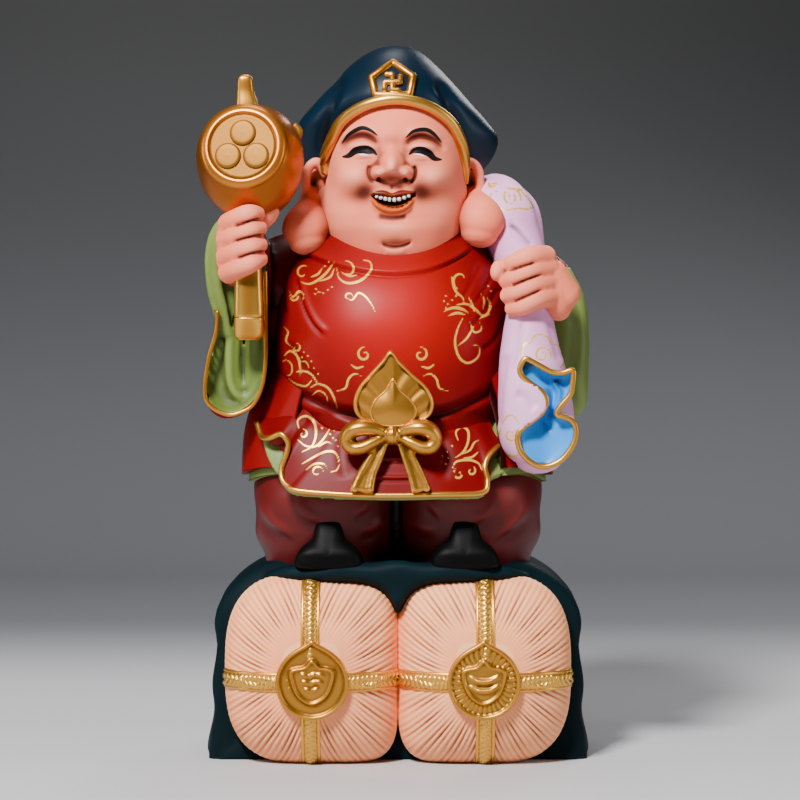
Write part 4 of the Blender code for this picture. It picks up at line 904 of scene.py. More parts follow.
def skirtStrokes():
    s = Strokes()
    s.add([(299, 428), (298, 420), (306, 416), (314, 422), (316, 434), (312, 446), (302, 452)], 1.2)
    s.add(spiral(303, 434, 5, 0.9, 90, -1), 1.0)
    s.add([(298, 440), (306, 446), (316, 446), (324, 438), (330, 428)], 1.1)
    s.add([(318, 447), (326, 442), (332, 444)], 1.0)
    s.add([(302, 464), (312, 458), (324, 452), (334, 452), (339, 460), (337, 470), (330, 472)], 1.2)
    s.add(spiral(317, 472, 6.5, 1.0, 0, 1), 1.0)
    s.add([(306, 470), (314, 464), (324, 464), (328, 470)], 1.0)
    s.dots([(322, 428), (326, 424), (330, 434), (334, 430), (336, 440), (338, 446), (333, 438)])
    s.add([(458, 440), (456, 432), (462, 427), (468, 431), (468, 442), (463, 452), (455, 458)], 1.2)
    s.add([(462, 454), (470, 450), (474, 443), (479, 440)], 1.0)
    s.add([(464, 458), (472, 457), (478, 452)], 1.0)
    s.add([(452, 470), (456, 462), (468, 460), (478, 463), (482, 470)], 1.1)
    s.add(spiral(459, 474, 6, 1.0, 120, 1), 1.0)
    s.add(spiral(471, 471, 5, 0.9, 60, -1), 1.0)
    s.dots([(447, 452), (443, 456), (448, 458), (441, 462), (446, 464), (440, 468), (452, 446)])
    return s


def robePaintedHighlight(points):
    # a painted highlight: lighter red over the chest and the belly where the light falls
    u, v = pictureOf(points)
    return 1.5 * np.hypot((u - 392) / 92, (v - 312) / 88) - 1.0 + 3.0 * ease(points[:, 1], -20.0, 0.0)


def makeRobe():
    rings = standing(bodyRows, robeLook["levels"], robeLook["around"], 3.0, 2.25)
    x, y, z = rings[..., 0], rings[..., 1], rings[..., 2]
    front = ease(-y, 4.0, 24.0)
    bellyLine = 152.0 + 0.0068 * (x + 2.0) ** 2
    rings[..., 1] += front * robeLook["overhang"] * np.exp(-(((z - bellyLine) / 2.6) ** 2))
    u, v = pictureOf(rings)
    amount = np.zeros(u.shape)
    for path, wide, deep in robeFolds:
        amount -= front * groove(u, v, path, wide, deep)
        shifted = [(a + wide * 1.1, b - wide * 1.3) for a, b in path]
        amount += front * groove(u, v, shifted, wide * 1.5, deep * 0.55)
    line = curveAt(collarLine, u)
    ends = ease(u, 300, 312) * (1 - ease(u, 462, 476)) * front * (z > 195)
    amount += ends * (1.3 * ease(line - v, -0.8, 1.4) - 1.0 * np.exp(-(((v - line - 1.4) / 1.3) ** 2)))
    angle = np.arctan2(x, y)
    behind = robeLook["backFold"] * ease(y, 6.0, 24.0) * ease(z, 120.0, 150.0)
    amount += behind * np.cos(angle * 9.0 + z * 0.05)
    mesh = plainMesh("robeBody", *skinOf(pushed(rings, amount)))
    points = pointsOf(mesh)
    u, v = pictureOf(points)
    gilt = strokeField(u, v, chestStrokes()) + np.where(points[:, 1] > -6.0, 30.0, 0.0)
    gilt += np.where(points[:, 2] < 150.0, 30.0, 0.0)
    addRed("robeBody", mesh, gilt, 60)


skirtLook = {"hemGold": 1.25}
skirtFolds = [([(345, 430), (342, 455), (346, 480)], 6, 0.7), ([(440, 436), (446, 460), (442, 482)], 6, 0.7),
              ([(352, 418), (330, 424), (306, 418)], 6, 0.8), ([(432, 420), (455, 424), (476, 415)], 6, 0.8)]
skirtHem = [
    (-62.6, -24.0, 150.1), (-60.1, -30.0, 144.1), (-56.3, -36.0, 143.7), (-51.3, -39.5, 145.4),
    (-48.2, -40.5, 141.9), (-48.6, -41.0, 137.5), (-50.8, -41.5, 131.0), (-50.7, -43.0, 126.2),
    (-48.0, -45.5, 122.9), (-43.1, -48.5, 121.1), (-23.0, -51.8, 119.7), (-2.2, -52.6, 119.3),
    (18.2, -51.8, 119.7), (36.2, -47.5, 120.1), (39.1, -45.0, 125.0), (38.0, -43.5, 131.5),
    (40.6, -40.0, 137.0), (46.4, -31.0, 141.1),
]
skirtMiddle = [
    (-59.3, -20.0, 156.7), (-53.6, -28.0, 154.2), (-48.9, -34.0, 152.6), (-46.2, -36.0, 151.8),
    (-43.9, -38.0, 148.4), (-43.0, -39.0, 144.0), (-42.1, -41.0, 139.7), (-40.7, -42.5, 136.3),
    (-38.0, -44.0, 134.1), (-34.0, -45.5, 133.3), (-20.0, -47.5, 133.0), (-2.2, -48.6, 132.6),
    (15.7, -47.5, 133.0), (29.7, -45.0, 133.8), (32.8, -43.0, 135.4), (34.6, -40.0, 138.8),
    (37.4, -36.0, 143.9), (42.1, -28.0, 147.1),
]
skirtWaist = [
    (-52.8, -14.0, 162.3), (-47.1, -24.0, 159.4), (-43.3, -30.0, 157.8), (-40.6, -33.0, 156.1),
    (-37.8, -35.0, 153.6), (-35.6, -36.5, 151.4), (-33.4, -37.5, 149.7), (-31.2, -38.5, 148.4),
    (-28.5, -39.5, 147.5), (-24.5, -40.5, 147.1), (-14.0, -42.0, 146.8), (-2.2, -42.6, 146.3),
    (9.6, -42.0, 146.8), (20.6, -39.5, 147.5), (25.0, -37.5, 148.8), (28.2, -34.5, 150.9),
    (31.8, -29.0, 155.1), (37.4, -22.0, 159.4),
]


def makeSkirt():
    def folds(grid):
        u, v = pictureOf(grid)
        grid[..., 1] += grooves(u, v, skirtFolds)
        for row in (459, 478):
            ledge = [(372, row - 1), (396, row), (420, row - 1)]
            under = [(a, b + 2.2) for a, b in ledge]
            grid[..., 1] += groove(u, v, under, 1.8, 1.0) - groove(u, v, ledge, 2.4, 0.9)
        return grid

    points, faces, grid = sheetShell([skirtHem, skirtMiddle, skirtWaist], -5.0, 58, 226, folds)
    mesh = plainMesh("skirtFront", points, faces)
    points = pointsOf(mesh)
    u, v = pictureOf(points)
    gilt = strokeField(u, v, skirtStrokes())
    gilt[len(gilt) // 2:] = 20.0
    addRed("skirtFront", mesh, gilt, 30)
    edge = grid[0][:: max(1, len(grid[0]) // 120)]
    rows = np.concatenate([edge + [0, -0.5, 0.3], np.full((len(edge), 1), skirtLook["hemGold"])], 1)
    addShells("skirtHemGold", [skinOf(swept(rows, 14, 260))], "gold", 6)
    under = [[(x, y + 3.2, z - 2.6) for x, y, z in skirtHem[5:-3]], [(x, y + 7.4, z + 3) for x, y, z in skirtHem[5:-3]]]
    shells = [sheetShell(under, 3.0, 12, 120)[:2]]
    left = [
        [(-59.5, -24.0, 142.0), (-57.0, -29.0, 134.0), (-51.5, -34.0, 126.0), (-43.0, -40.0, 121.8)],
        [(-54.0, -24.0, 143.0), (-49.5, -29.0, 137.0), (-46.0, -33.0, 130.0), (-40.0, -38.0, 124.0)],
        [(-47.0, -18.0, 144.0), (-43.0, -21.0, 139.0), (-40.0, -24.0, 132.0), (-36.0, -30.0, 127.0)],
    ]
    right = [
        [(58.0, -22.0, 142.0), (52.0, -28.0, 132.5), (46.0, -33.0, 127.0), (38.0, -40.0, 123.5)],
        [(50.0, -24.0, 147.0), (46.0, -28.0, 138.0), (42.0, -32.0, 131.0), (36.0, -37.0, 126.0)],
        [(44.0, -18.0, 150.0), (41.0, -21.0, 141.0), (38.0, -24.0, 134.0), (33.0, -30.0, 129.0)],
    ]
    shells += [sheetShell(left, 4.0, 30, 40)[:2], sheetShell(right, -4.0, 30, 40)[:2]]
    addMelted("skirtLining", shells, 1.1, 2, "green", 16)
    angle = np.radians(np.linspace(-138.0, 138.0, 70))
    rails = []
    for z, half, deep in ((126.0, 65.0, 46.0), (147.0, 64.0, 44.0), (168.0, 57.0, 38.0), (184.0, 49.0, 32.0)):
        fade = max(0.0, (168.0 - z) / 42.0)
        ripple = 1.4 * np.sin(angle * 6.0) * fade
        lift = 4.5 * ease(np.abs(angle), math.radians(92), math.radians(125)) * fade
        rails.append(np.stack([(half + ripple) * np.sin(angle), (deep + ripple) * np.cos(angle), z + lift], 1))
    points, faces, grid = sheetShell(rails, -5.0, 38, 160)
    mesh = plainMesh("skirtBack", points, faces)
    points = pointsOf(mesh)
    swirls = []
    for k in range(9):
        bearing = math.radians(-96 + 24 * k)
        at = bearing * 60.0
        swirls.append((spiral(at, 150.0 - 3 * (k % 2), 6, 1.1, 90 + 40 * k, 1 if k % 2 else -1), 0.9, 0.6))
        swirls.append(([(at - 10, 139), (at - 3, 143), (at + 4, 138), (at + 9, 142)], 0.9, 0.7))
    turn = np.arctan2(points[:, 0], points[:, 1]) * 60.0
    gilt = strokeField(turn, points[:, 2], swirls)
    gilt[len(gilt) // 2:] = 20.0
    addRed("skirtBack", mesh, gilt, 30)
    edge = grid[0][::2]
    rows = np.concatenate([edge, np.full((len(edge), 1), 1.35)], 1)
    addShells("skirtBackGold", [skinOf(swept(rows, 14, 240))], "gold", 6)
    rails = [grid[0][::3] * [0.985, 0.985, 1] + [0, 0, -3.4], grid[0][::3] * [0.965, 0.965, 1] + [0, 0, 5.0]]
    points, faces, _ = sheetShell(rails, -3.0, 10, 160)
    addPiece("skirtBackLining", plainMesh("skirtBackLining", points, faces), "green", 10)


sleeveLook = {"voxel": 1.35, "liningVoxel": 0.9, "rightVoxel": 1.2, "fold": 0.7, "scroll": 5.5, "edgeGold": 1.0}
sleeveRim = [
    (-74.0, 241.0), (-80.0, 234.0), (-83.6, 222.0), (-83.2, 208.0), (-80.6, 195.5), (-83.4, 182.0),
    (-86.0, 168.0), (-84.2, 157.6), (-77.5, 152.2), (-68.0, 154.6), (-60.6, 163.0), (-58.2, 178.0),
    (-57.4, 200.0), (-56.8, 222.0), (-62.0, 238.0)]
hanging = [  # height, middle x, widest y, half width, front y, back y
    (151.5, 72.0, 1.0, 7.0, -5.0, 8.0), (157.0, 73.0, 1.0, 11.4, -11.0, 16.0), (172.0, 71.4, 2.0, 14.2, -12.6, 22.0),
    (190.0, 70.0, 4.0, 16.0, -12.0, 25.0), (207.0, 68.4, 6.0, 15.4, -9.0, 25.0), (220.0, 63.0, 8.0, 14.4, -3.0, 23.0),
    (230.0, 57.0, 9.0, 9.0, 2.0, 17.0),
]


def makeSleeves():
    arm = [(-34.0, 6.0, 216.0, 16.0), (-48.0, 6.0, 217.0, 18.0), (-60.0, 2.0, 206.0, 20.0),
           (-65.0, -5.0, 198.0, 15.0), (-68.0, -8.0, 203.0, 11.0)]
    rim = evenly(sleeveRim, 90, True)
    centre = (-70.5, 190.0)
    outer = stackedRings(rim, [(0.62, 15.0), (0.86, 9.0), (0.97, 0.0), (1.0, -6.0), (1.0, -20.0), (1.0, -30.0),
                               (0.99, -31.6), (0.95, -31.8), (0.93, -29.0), (0.9, -22.0), (0.7, -18.0)], centre)
    shells = [skinOf(swept(arm, 40, 40)), skinOf(outer)]
    arm = [(34.0, 7.0, 220.0, 15.0), (52.0, 7.0, 212.0, 20.0), (62.0, 5.0, 196.0, 17.0), (66.0, 2.0, 188.0, 12.0)]
    other = standing([(z, x, y, half, front + 4.0, back) for z, x, y, half, front, back in hanging], 50, 60, 1, 2.3)
    shells += [skinOf(swept(arm, 40, 40)), skinOf(other)]
    for side in (-1, 1):
        hang = [(side * 57.0, 6.0, 202.0, 14.0), (side * 59.0, 7.0, 176.0, 11.5), (side * 59.0, 7.0, 152.0, 8.0)]
        shells.append(skinOf(swept(hang, 30, 24)))
    mesh = melted("sleeves", shells, sleeveLook["voxel"], 3)
    points, normals = pointsOf(mesh), normalsOf(mesh)
    behind = ease(points[:, 1], -14.0, 10.0)
    fold = np.cos(points[:, 2] * 0.23 + np.abs(points[:, 0]) * 0.16 + points[:, 1] * 0.1)
    movePoints(mesh, points + normals * (sleeveLook["fold"] * behind * fold)[:, None])
    swirls = []
    for z in (172, 190, 208):
        for y in (-14, 6):
            swirls.append((spiral(y, z, sleeveLook["scroll"], 1.1, 40 * z + 20 * y, 1), 0.8, 0.6))
    gilt = strokeField(points[:, 1], points[:, 2], swirls) + np.where(np.abs(points[:, 0]) < 76, 20.0, 0.0)
    addRed("sleeves", mesh, gilt, 20)
    # green inside of the wide left sleeve, with its pleats
    inside = stackedRings(rim, [(0.88, -22.0), (0.94, -28.4), (0.955, -30.8), (0.925, -30.2), (0.87, -26.6),
                                (0.79, -24.0), (0.5, -22.8), (0.1, -22.4)], centre)
    shells = [skinOf(inside)]
    outerFold = placed([(231, 330, 2.3), (229.6, 356, 2.3), (230.6, 380, 2.3), (236, 393, 2.3), (244, 398, 2.3),
                        (252, 393, 2.3), (256.6, 380, 2.3), (257.6, 356, 2.3), (257, 330, 2.3)], -24.6)
    innerFold = placed([(237.4, 330, 1.9), (235.8, 356, 1.9), (236.4, 376, 1.9), (239.6, 385, 1.9),
                        (243.4, 387.6, 1.9), (247, 385, 1.9), (249.6, 376, 1.9), (250.4, 356, 1.9),
                        (250.2, 330, 1.9)], -23.6)
    shells += [skinOf(swept(outerFold, 16, 60)), skinOf(swept(innerFold, 16, 60))]
    for shift, wide in ((0.0, 1.0), (4.0, 0.8)):
        cuff = placed([(231 + shift, 213, 2.2), (216.6 + shift, 232, 2.7), (211.4 + shift, 256, 3.0),
                       (212.8 + shift, 285, 3.0), (218 + shift, 308, 3.0), (224 + shift, 334, 2.0)], -30.0)
        cuff[:, 1] += np.array([0, 0, 0, 1.0, 3.0, 5.0]) - shift * 0.3
        cuff[:, 3] *= wide
        shells.append(skinOf(swept(cuff, 18, 60)))
    addMelted("sleeveLining", shells, sleeveLook["liningVoxel"], 3, "green", 14)
    rows = [(z, x + 0.2, y - 5.0, half + 0.25, front, y + 1.0) for z, x, y, half, front, _ in hanging[:6]]
    inside = standing(rows, 60, 90, 1, 2.3)
    u, v = pictureOf(inside)
    inside[..., 1] += grooves(u, v, [([(566, 285), (572, 330), (566, 385)], 3.4, 0.8),
                                     ([(574, 300), (578, 340), (572, 380)], 3.4, 0.8)])
    addMelted("sleeveLiningRight", [skinOf(inside)], sleeveLook["rightVoxel"], 2, "green", 20)
    path = [(217.4, 312), (216, 332), (209, 357), (205, 384), (206, 399), (214.5, 409), (228.6, 414.6), (241.6, 412),
            (253.6, 404), (262, 386), (265.4, 362), (265.6, 330), (265.4, 300), (265, 272)]
    rows = placed([(a, b, sleeveLook["edgeGold"]) for a, b in path], -32.0)
    addShells("sleeveGoldLeft", [skinOf(swept(rows, 14, 200))], "gold", 6)


# The gilt ornament

ornamentLook = {"veins": 8.5, "veinDepth": 0.55, "knotGroove": 0.5, "bowVoxel": 0.58}


def makeOrnament():
    outline = evenly([(390.6, 350), (399, 360), (413, 374), (427, 387), (434, 402), (431, 415), (420, 423),
                      (405, 427), (392, 428), (378, 427), (364, 422), (355, 413), (353.4, 400), (359, 386),
                      (370, 373), (382, 360)], 150, True)
    places = placed(outline, -53.0)
    centre = atPicture(393.5, 402, -53.0)
    shape = np.stack([places[:, 0], places[:, 2]], 1)
    layers = [(0.9, -44.0), (0.99, -48.0), (1.0, -51.5), (0.985, -53.2), (0.96, -54.0), (0.935, -54.0), (0.91, -53.3)]
    layers += [(s, -53.0 - 1.4 * (0.9 - s)) for s in np.linspace(0.88, 0.03, 42)]
    rings = stackedRings(shape, layers, (centre[0], centre[2]))
    u, v = pictureOf(rings)
    sizes = np.array([size for size, _ in layers])[:, None]
    around = np.arctan2(u - 393.5, -(v - 436))
    ribs = 0.5 + 0.5 * np.cos((around + 0.25 * np.sign(around) * (1 - sizes)) * ornamentLook["veins"] * 2.0)
    rings[..., 1] += ornamentLook["veinDepth"] * (sizes < 0.9) * (1 - ribs) ** 2
    shells = [skinOf(rings)]
    heart = evenly([(393, 378), (400, 389), (410, 398), (417, 409), (414, 420), (404, 426), (393, 427), (382, 426),
                    (372, 420), (370, 409), (376, 398), (386, 389)], 90, True)
    places = placed(heart, -55.0)
    middle = atPicture(393, 408, -55.0)
    flat = np.stack([places[:, 0], places[:, 2]], 1)
    layers = [(1.0, -50.0), (1.0, -54.4), (0.985, -55.4), (0.95, -56.0), (0.92, -55.7)]
    layers += [(s, -55.7 - 1.2 * (1 - (s / 0.9) ** 2)) for s in np.linspace(0.89, 0.03, 20)]
    shells.append(skinOf(stackedRings(flat, layers, (middle[0], middle[2]))))
    addShells("peach", shells, "gold", 8)
    shells = []
    for side in (-1, 1):
        middle = 392.5

        def at(du, v, r):
            return (middle + side * du * (1.0 if side < 0 else 0.92), v, r)

        loop = placed([at(6, 434, 2.2), at(16, 429, 3.0), at(29, 427, 3.7), at(40, 430, 3.7),
                       at(45.6, 438, 3.4), at(41, 446.6, 3.4), at(32, 447.6, 3.0), at(21, 443, 2.6),
                       at(12, 439, 2.2), at(6, 437, 2.0)], -53.0)
        loop[:, 1] -= np.array([0, 1.0, 1.6, 1.2, 0.4, 0.6, 1.4, 1.4, 0.6, 0])
        shells.append(skinOf(swept(loop, 26, 130, 1.45)))
        if side < 0:
            rows = [(382, 443, 3.0), (375, 458, 3.7), (367, 474, 4.5), (362, 489, 5.6)]
        else:
            rows = [(403, 443, 2.8), (409, 458, 3.3), (415.5, 474, 3.9), (420.6, 489, 4.5)]
        path = placed(rows, -52.6)
        path[:, 1] -= [0.0, 0.6, 1.0, 1.8]
        for shift in (-0.62, 0.62):
            edge = path.copy()
            edge[:, 0] += edge[:, 3] * shift
            edge[:, 3] = edge[:, 3] * 0.34
            edge[:, 1] -= 0.9
            shells.append(skinOf(swept(edge, 14, 50, 1.0)))
        body = path.copy()
        body[:, 3] = body[:, 3] * 0.95
        shells.append(skinOf(swept(body, 22, 50, 0.42, 0.3)))
    knot = egg(atPicture(392.5, 435, -53.8), (4.0, 4.8, 4.4), 40, 26)
    beside = knot[..., 0] - knot[..., 0].mean()
    knot[..., 1] -= ornamentLook["knotGroove"] * np.cos(beside * 4.2)
    shells.append(skinOf(knot))
    addMelted("bow", shells, ornamentLook["bowVoxel"], 2, "gold", 8)


# Trousers and clogs

trouserLook = {"voxel": 1.3, "backFold": 0.8}
trouserFolds = [([(260, 498), (272, 520), (300, 537)], 5.5, 1.3), ([(296, 497), (308, 514), (332, 522)], 5.0, 1.0),
                ([(390, 516), (374, 527), (358, 531)], 5.0, 1.1), ([(370, 497), (364, 508), (354, 516)], 4.6, 0.8),
                ([(406, 516), (422, 527), (438, 531)], 5.0, 1.1), ([(428, 497), (434, 508), (442, 516)], 4.6, 0.8),
                ([(528, 498), (518, 520), (492, 537)], 5.5, 1.3), ([(496, 497), (486, 514), (464, 522)], 5.0, 1.0)]


def makeTrousers():
    shells = []
    for side in (-1, 1):
        rows = [
            (84.0, side * 30.0, 0.0, 29.5, -24.0, 27.0), (93.0, side * 30.4, 0.0, 31.6, -29.5, 32.0),
            (104.0, side * 31.0, 0.0, 33.4, -34.5, 36.0), (117.0, side * 31.2, 0.0, 34.0, -38.0, 37.0),
            (130.0, side * 28.0, 0.0, 34.0, -34.0, 36.0), (142.0, side * 24.0, 0.0, 28.0, -26.0, 30.0),
        ]
        shells.append(skinOf(standing(rows, 60, 90, 1.2)))
    mesh = melted("trousers", shells, trouserLook["voxel"], 3)
    points, normals = pointsOf(mesh), normalsOf(mesh)
    u, v = pictureOf(points)
    front = ease(-points[:, 1], 2.0, 18.0)
    amount = np.zeros(len(u))
    for path, wide, deep in trouserFolds:
        amount += front * groove(u, v, path, wide, deep, 0.45)
        lower = [(a - 2.0, b + wide * 1.9) for a, b in path]
        amount -= front * groove(u, v, lower, wide * 0.9, deep * 0.8, 0.45)
    amount -= front * groove(u, v, [(396, 492), (396, 525), (396, 560)], 4.0, 2.2)
    amount += (1 - front) * trouserLook["backFold"] * np.cos(np.abs(points[:, 0]) * 0.35 + points[:, 2] * 0.22)
    movePoints(mesh, points + normals * amount[:, None])
    addPiece("trousers", mesh, "maroon", 40)


clogLook = {"left": -30.6, "right": 29.6, "sole": 87.6, "waist": 1.6}
clogOutline = [
    (-14.8, 0), (-14.2, 4.6), (-11.4, 8.4), (-7.6, 11.6), (-6.2, 16.5), (-4.6, 20.8), (0, 22.4), (4.6, 20.8),
    (6.2, 16.5), (7.6, 11.6), (11.4, 8.4), (14.2, 4.6), (14.8, 0), (9.0, -1.4), (0, -1.6), (-9.0, -1.4)]


def makeClogs():
    for name, middle in (("clogLeft", clogLook["left"]), ("clogRight", clogLook["right"])):
        outline = evenly(clogOutline, 150, True) + [middle, clogLook["sole"]]
        layers = [(1.0, -20.0), (1.0, -34.0), (0.995, -37.4), (0.97, -39.4), (0.92, -40.8), (0.84, -41.7),
                  (0.7, -42.3), (0.5, -42.6), (0.25, -42.7), (0.05, -42.7)]
        rings = stackedRings(outline, layers, (middle, 92.0))
        waist = clogLook["waist"] * np.exp(-((rings[..., 2] - 94.0) / 4.0) ** 2)
        rings[..., 1] += 0.3 * (rings[..., 2] - 87.0) - waist
        addShells(name, [skinOf(rings)], "black", 10)


# The plinth

baleLook = {"halfWidth": 38.6, "halfHeight": 42.5, "middle": 41.5, "front": -51.0, "shoulder": -27.0, "power": 2.9,
            "pressed": 5.0, "spacing": 38.2, "grooves": 25, "depth": 1.1, "around": 420}
medalHeight = 37.8
ropeLook = {"strand": 1.35, "edge": 0.95, "edgeGap": 3.4}


def balePower(x):
    # squarer on the side where the two bales press together
    return np.where(np.abs(x) < baleLook["spacing"], baleLook["pressed"], baleLook["power"])


def strawWave(x, z, middle):
    # bundles of straw that run between the radial and the diagonal of each quarter
    look = baleLook
    a, b = np.abs(x - middle) / look["halfWidth"], np.abs(z - look["middle"]) / look["halfHeight"]
    across = 0.55 * np.arctan2(b, a) / (math.pi / 2) + 0.45 * (0.5 + 0.5 * (b - a))
    wander = 0.35 * np.sin(9.0 * across + 3.0 * np.sign(x - middle)) + 0.3 * np.sin(4.0 * (a + b) + 17 * across)
    return np.abs(np.sin(math.pi * look["grooves"] * across + wander)) ** 0.7


def baleDepth(x, z, middle):
    look = baleLook
    sharp = balePower(x)
    across = np.abs((x - middle) / look["halfWidth"]) ** sharp
    upward = np.abs((z - look["middle"]) / look["halfHeight"]) ** sharp
    reach = np.clip((across + upward) ** (1.0 / sharp), 0.0, 0.999)
    return look["shoulder"] + (look["front"] - look["shoulder"]) * (1.0 - reach**2.6) ** 0.55


def makeBales():
    look = baleLook
    around = look["around"]
    turn = np.arange(around) / around * 2 * math.pi
    for name, middle in (("baleLeft", -look["spacing"]), ("baleRight", look["spacing"])):
        sharp = balePower(middle + np.cos(turn))
        outX = middle + look["halfWidth"] * power(np.cos(turn), sharp)
        outZ = look["middle"] + look["halfHeight"] * power(np.sin(turn), sharp)
        outX, outZ = evenly(np.stack([outX, outZ], 1), around, True).T
        rings = []
        for size in np.concatenate([np.linspace(0.3, 0.9, 36), np.linspace(0.91, 0.998, 14)]):
            x = middle + (outX - middle) * size
            z = look["middle"] + (outZ - look["middle"]) * size
            straw = -strawWave(x, z, middle) * (0.8 + 0.2 * np.sin(turn * 23 + size * 2.0))
            straw = straw * float(ease(size, 0.34, 0.62))
            rise = look["depth"] * (1 + straw) * min(1.0, size * 1.6)
            rings.append(np.stack([x, baleDepth(x, z, middle) - rise, z], 1))
        for y in np.linspace(look["shoulder"] + 1.0, 18.0, 5):
            straw = strawWave(outX, outZ, middle)
            grow = 1.0 - 0.012 * straw
            rings.append(np.stack([middle + (outX - middle) * grow, np.full(around, y),
                                   look["middle"] + (outZ - look["middle"]) * grow], 1))
        rings = np.array(rings)
        rings[..., 2] = np.maximum(rings[..., 2], 0.02)
        addShells(name, [skinOf(rings)], "straw", 5)
        ropes = []
        for upright in (True, False):
            reach = (look["halfHeight"] if upright else look["halfWidth"]) * 0.985
            share = np.linspace(-1.0, 1.0, 150)
            along = share * reach
            for strand in range(3):
                phase = strand * 2 * math.pi / 3
                wave = 1.8 * np.sin(along * 0.95 + phase)
                lift = 0.55 * np.cos(2 * (along * 0.95 + phase))
                if not upright:
                    wave = 2.1 * np.sin(along * 1.15 + phase)
                x = middle + wave if upright else middle + along
                z = look["middle"] + along if upright else medalHeight + wave
                z = np.maximum(z, 1.3)
                y = baleDepth(x, z, middle) - 1.1 - lift
                ropes.append(skinOf(swept(np.stack([x, y, z, np.full(150, ropeLook["strand"])], 1), 9, 140)))
            for shift in (-ropeLook["edgeGap"], ropeLook["edgeGap"]):
                x = middle + shift + 0 * along if upright else middle + along
                z = look["middle"] + along if upright else medalHeight + shift + 0 * along
                z = np.maximum(z, 1.0)
                y = baleDepth(x, z, middle) - 0.5
                ropes.append(skinOf(swept(np.stack([x, y, z, np.full(150, ropeLook["edge"])], 1), 8, 60)))
        addShells(name + "Rope", ropes, "gold", 5)


medalLook = {"voxel": 0.56, "rays": 34, "rayDepth": 0.35, "radius": 16.0, "tip": 19.2}


def medalOutline(middle, radius, tip, count):
    turn = np.arange(count) / count * 2 * math.pi
    fromTop = np.abs((turn + math.pi) % (2 * math.pi) - math.pi)
    reach = radius + (tip - radius) * np.exp(-fromTop / 0.2) * (1.0 - fromTop / math.pi)
    return np.stack([middle + reach * np.sin(turn), medalHeight + reach * np.cos(turn)], 1)


def makeMedals():
    for name, middle, written in (("medalLeft", -37.4, True), ("medalRight", 37.4, False)):
        rim = medalOutline(middle, medalLook["radius"], medalLook["tip"], 200)
        y = -54.4
        layers = [(1.0, -46.0), (1.0, y + 0.8), (0.98, y), (0.94, y - 0.2), (0.9, y + 0.1), (0.875, y + 1.0)]
        layers += [(s, y + 1.1 - 0.3 * (0.87 - s)) for s in np.linspace(0.86, 0.02, 50)]
        rings = stackedRings(rim, layers, (middle, medalHeight))
        sizes = np.array([s for s, _ in layers])[:, None]
        turn = np.arange(200) / 200 * 2 * math.pi
        if not written:
            rays = np.sin(turn * medalLook["rays"])[None, :]
            rings[..., 1] += medalLook["rayDepth"] * rays * ((sizes < 0.86) & (sizes > 0.55))
        shells = [skinOf(rings)]
        shield = evenly([(0, 10.6), (3.4, 7.4), (9.6, 5.6), (9.0, -0.6), (6.0, -6.4), (0, -9.6), (-6.0, -6.4),
                         (-9.0, -0.6), (-9.6, 5.6), (-3.4, 7.4)], 120, True) + [middle, medalHeight]
        layers = [(1.0, -50.0), (1.0, y + 0.4), (0.97, y - 0.5), (0.91, y - 0.7), (0.86, y - 0.3), (0.83, y + 0.3),
                  (0.5, y + 0.1), (0.05, y)]
        shells.append(skinOf(stackedRings(shield, layers, (middle, medalHeight))))
        if written:
            # rows of shallow strokes where the real medal has marks
            for row, marks in ((3.6, (-3.4, 0.2, 3.6)), (0.4, (-3.0, 0.6, 3.2)), (-2.8, (-2.2, 1.4))):
                for k, dx in enumerate(marks):
                    lean = 0.5 if k % 2 else -0.4
                    rows = [(middle + dx - 1.1, y - 0.1, medalHeight + row - lean, 0.5),
                            (middle + dx, y - 0.25, medalHeight + row + 0.2, 0.6),
                            (middle + dx + 1.1, y - 0.1, medalHeight + row + lean, 0.5)]
                    shells.append(skinOf(swept(rows, 10, 8)))
        else:
            for row in (1.6, -2.4):
                rows = [(middle + dx, y + dy, medalHeight + row + dz, radius) for dx, dy, dz, radius in (
                    (-6.0, 0.1, 1.2, 0.5), (-2.6, -0.1, -0.6, 1.1), (0.4, -0.1, -1.0, 1.3), (3.2, -0.1, -0.4, 1.1),
                    (6.2, 0.1, 1.6, 0.5))]
                shells.append(skinOf(swept(rows, 12, 24)))
        addMelted(name, shells, medalLook["voxel"], 2, "gold", 5)


drapeLook = {"half": 83.5, "top": 90.0, "voxel": 1.8}


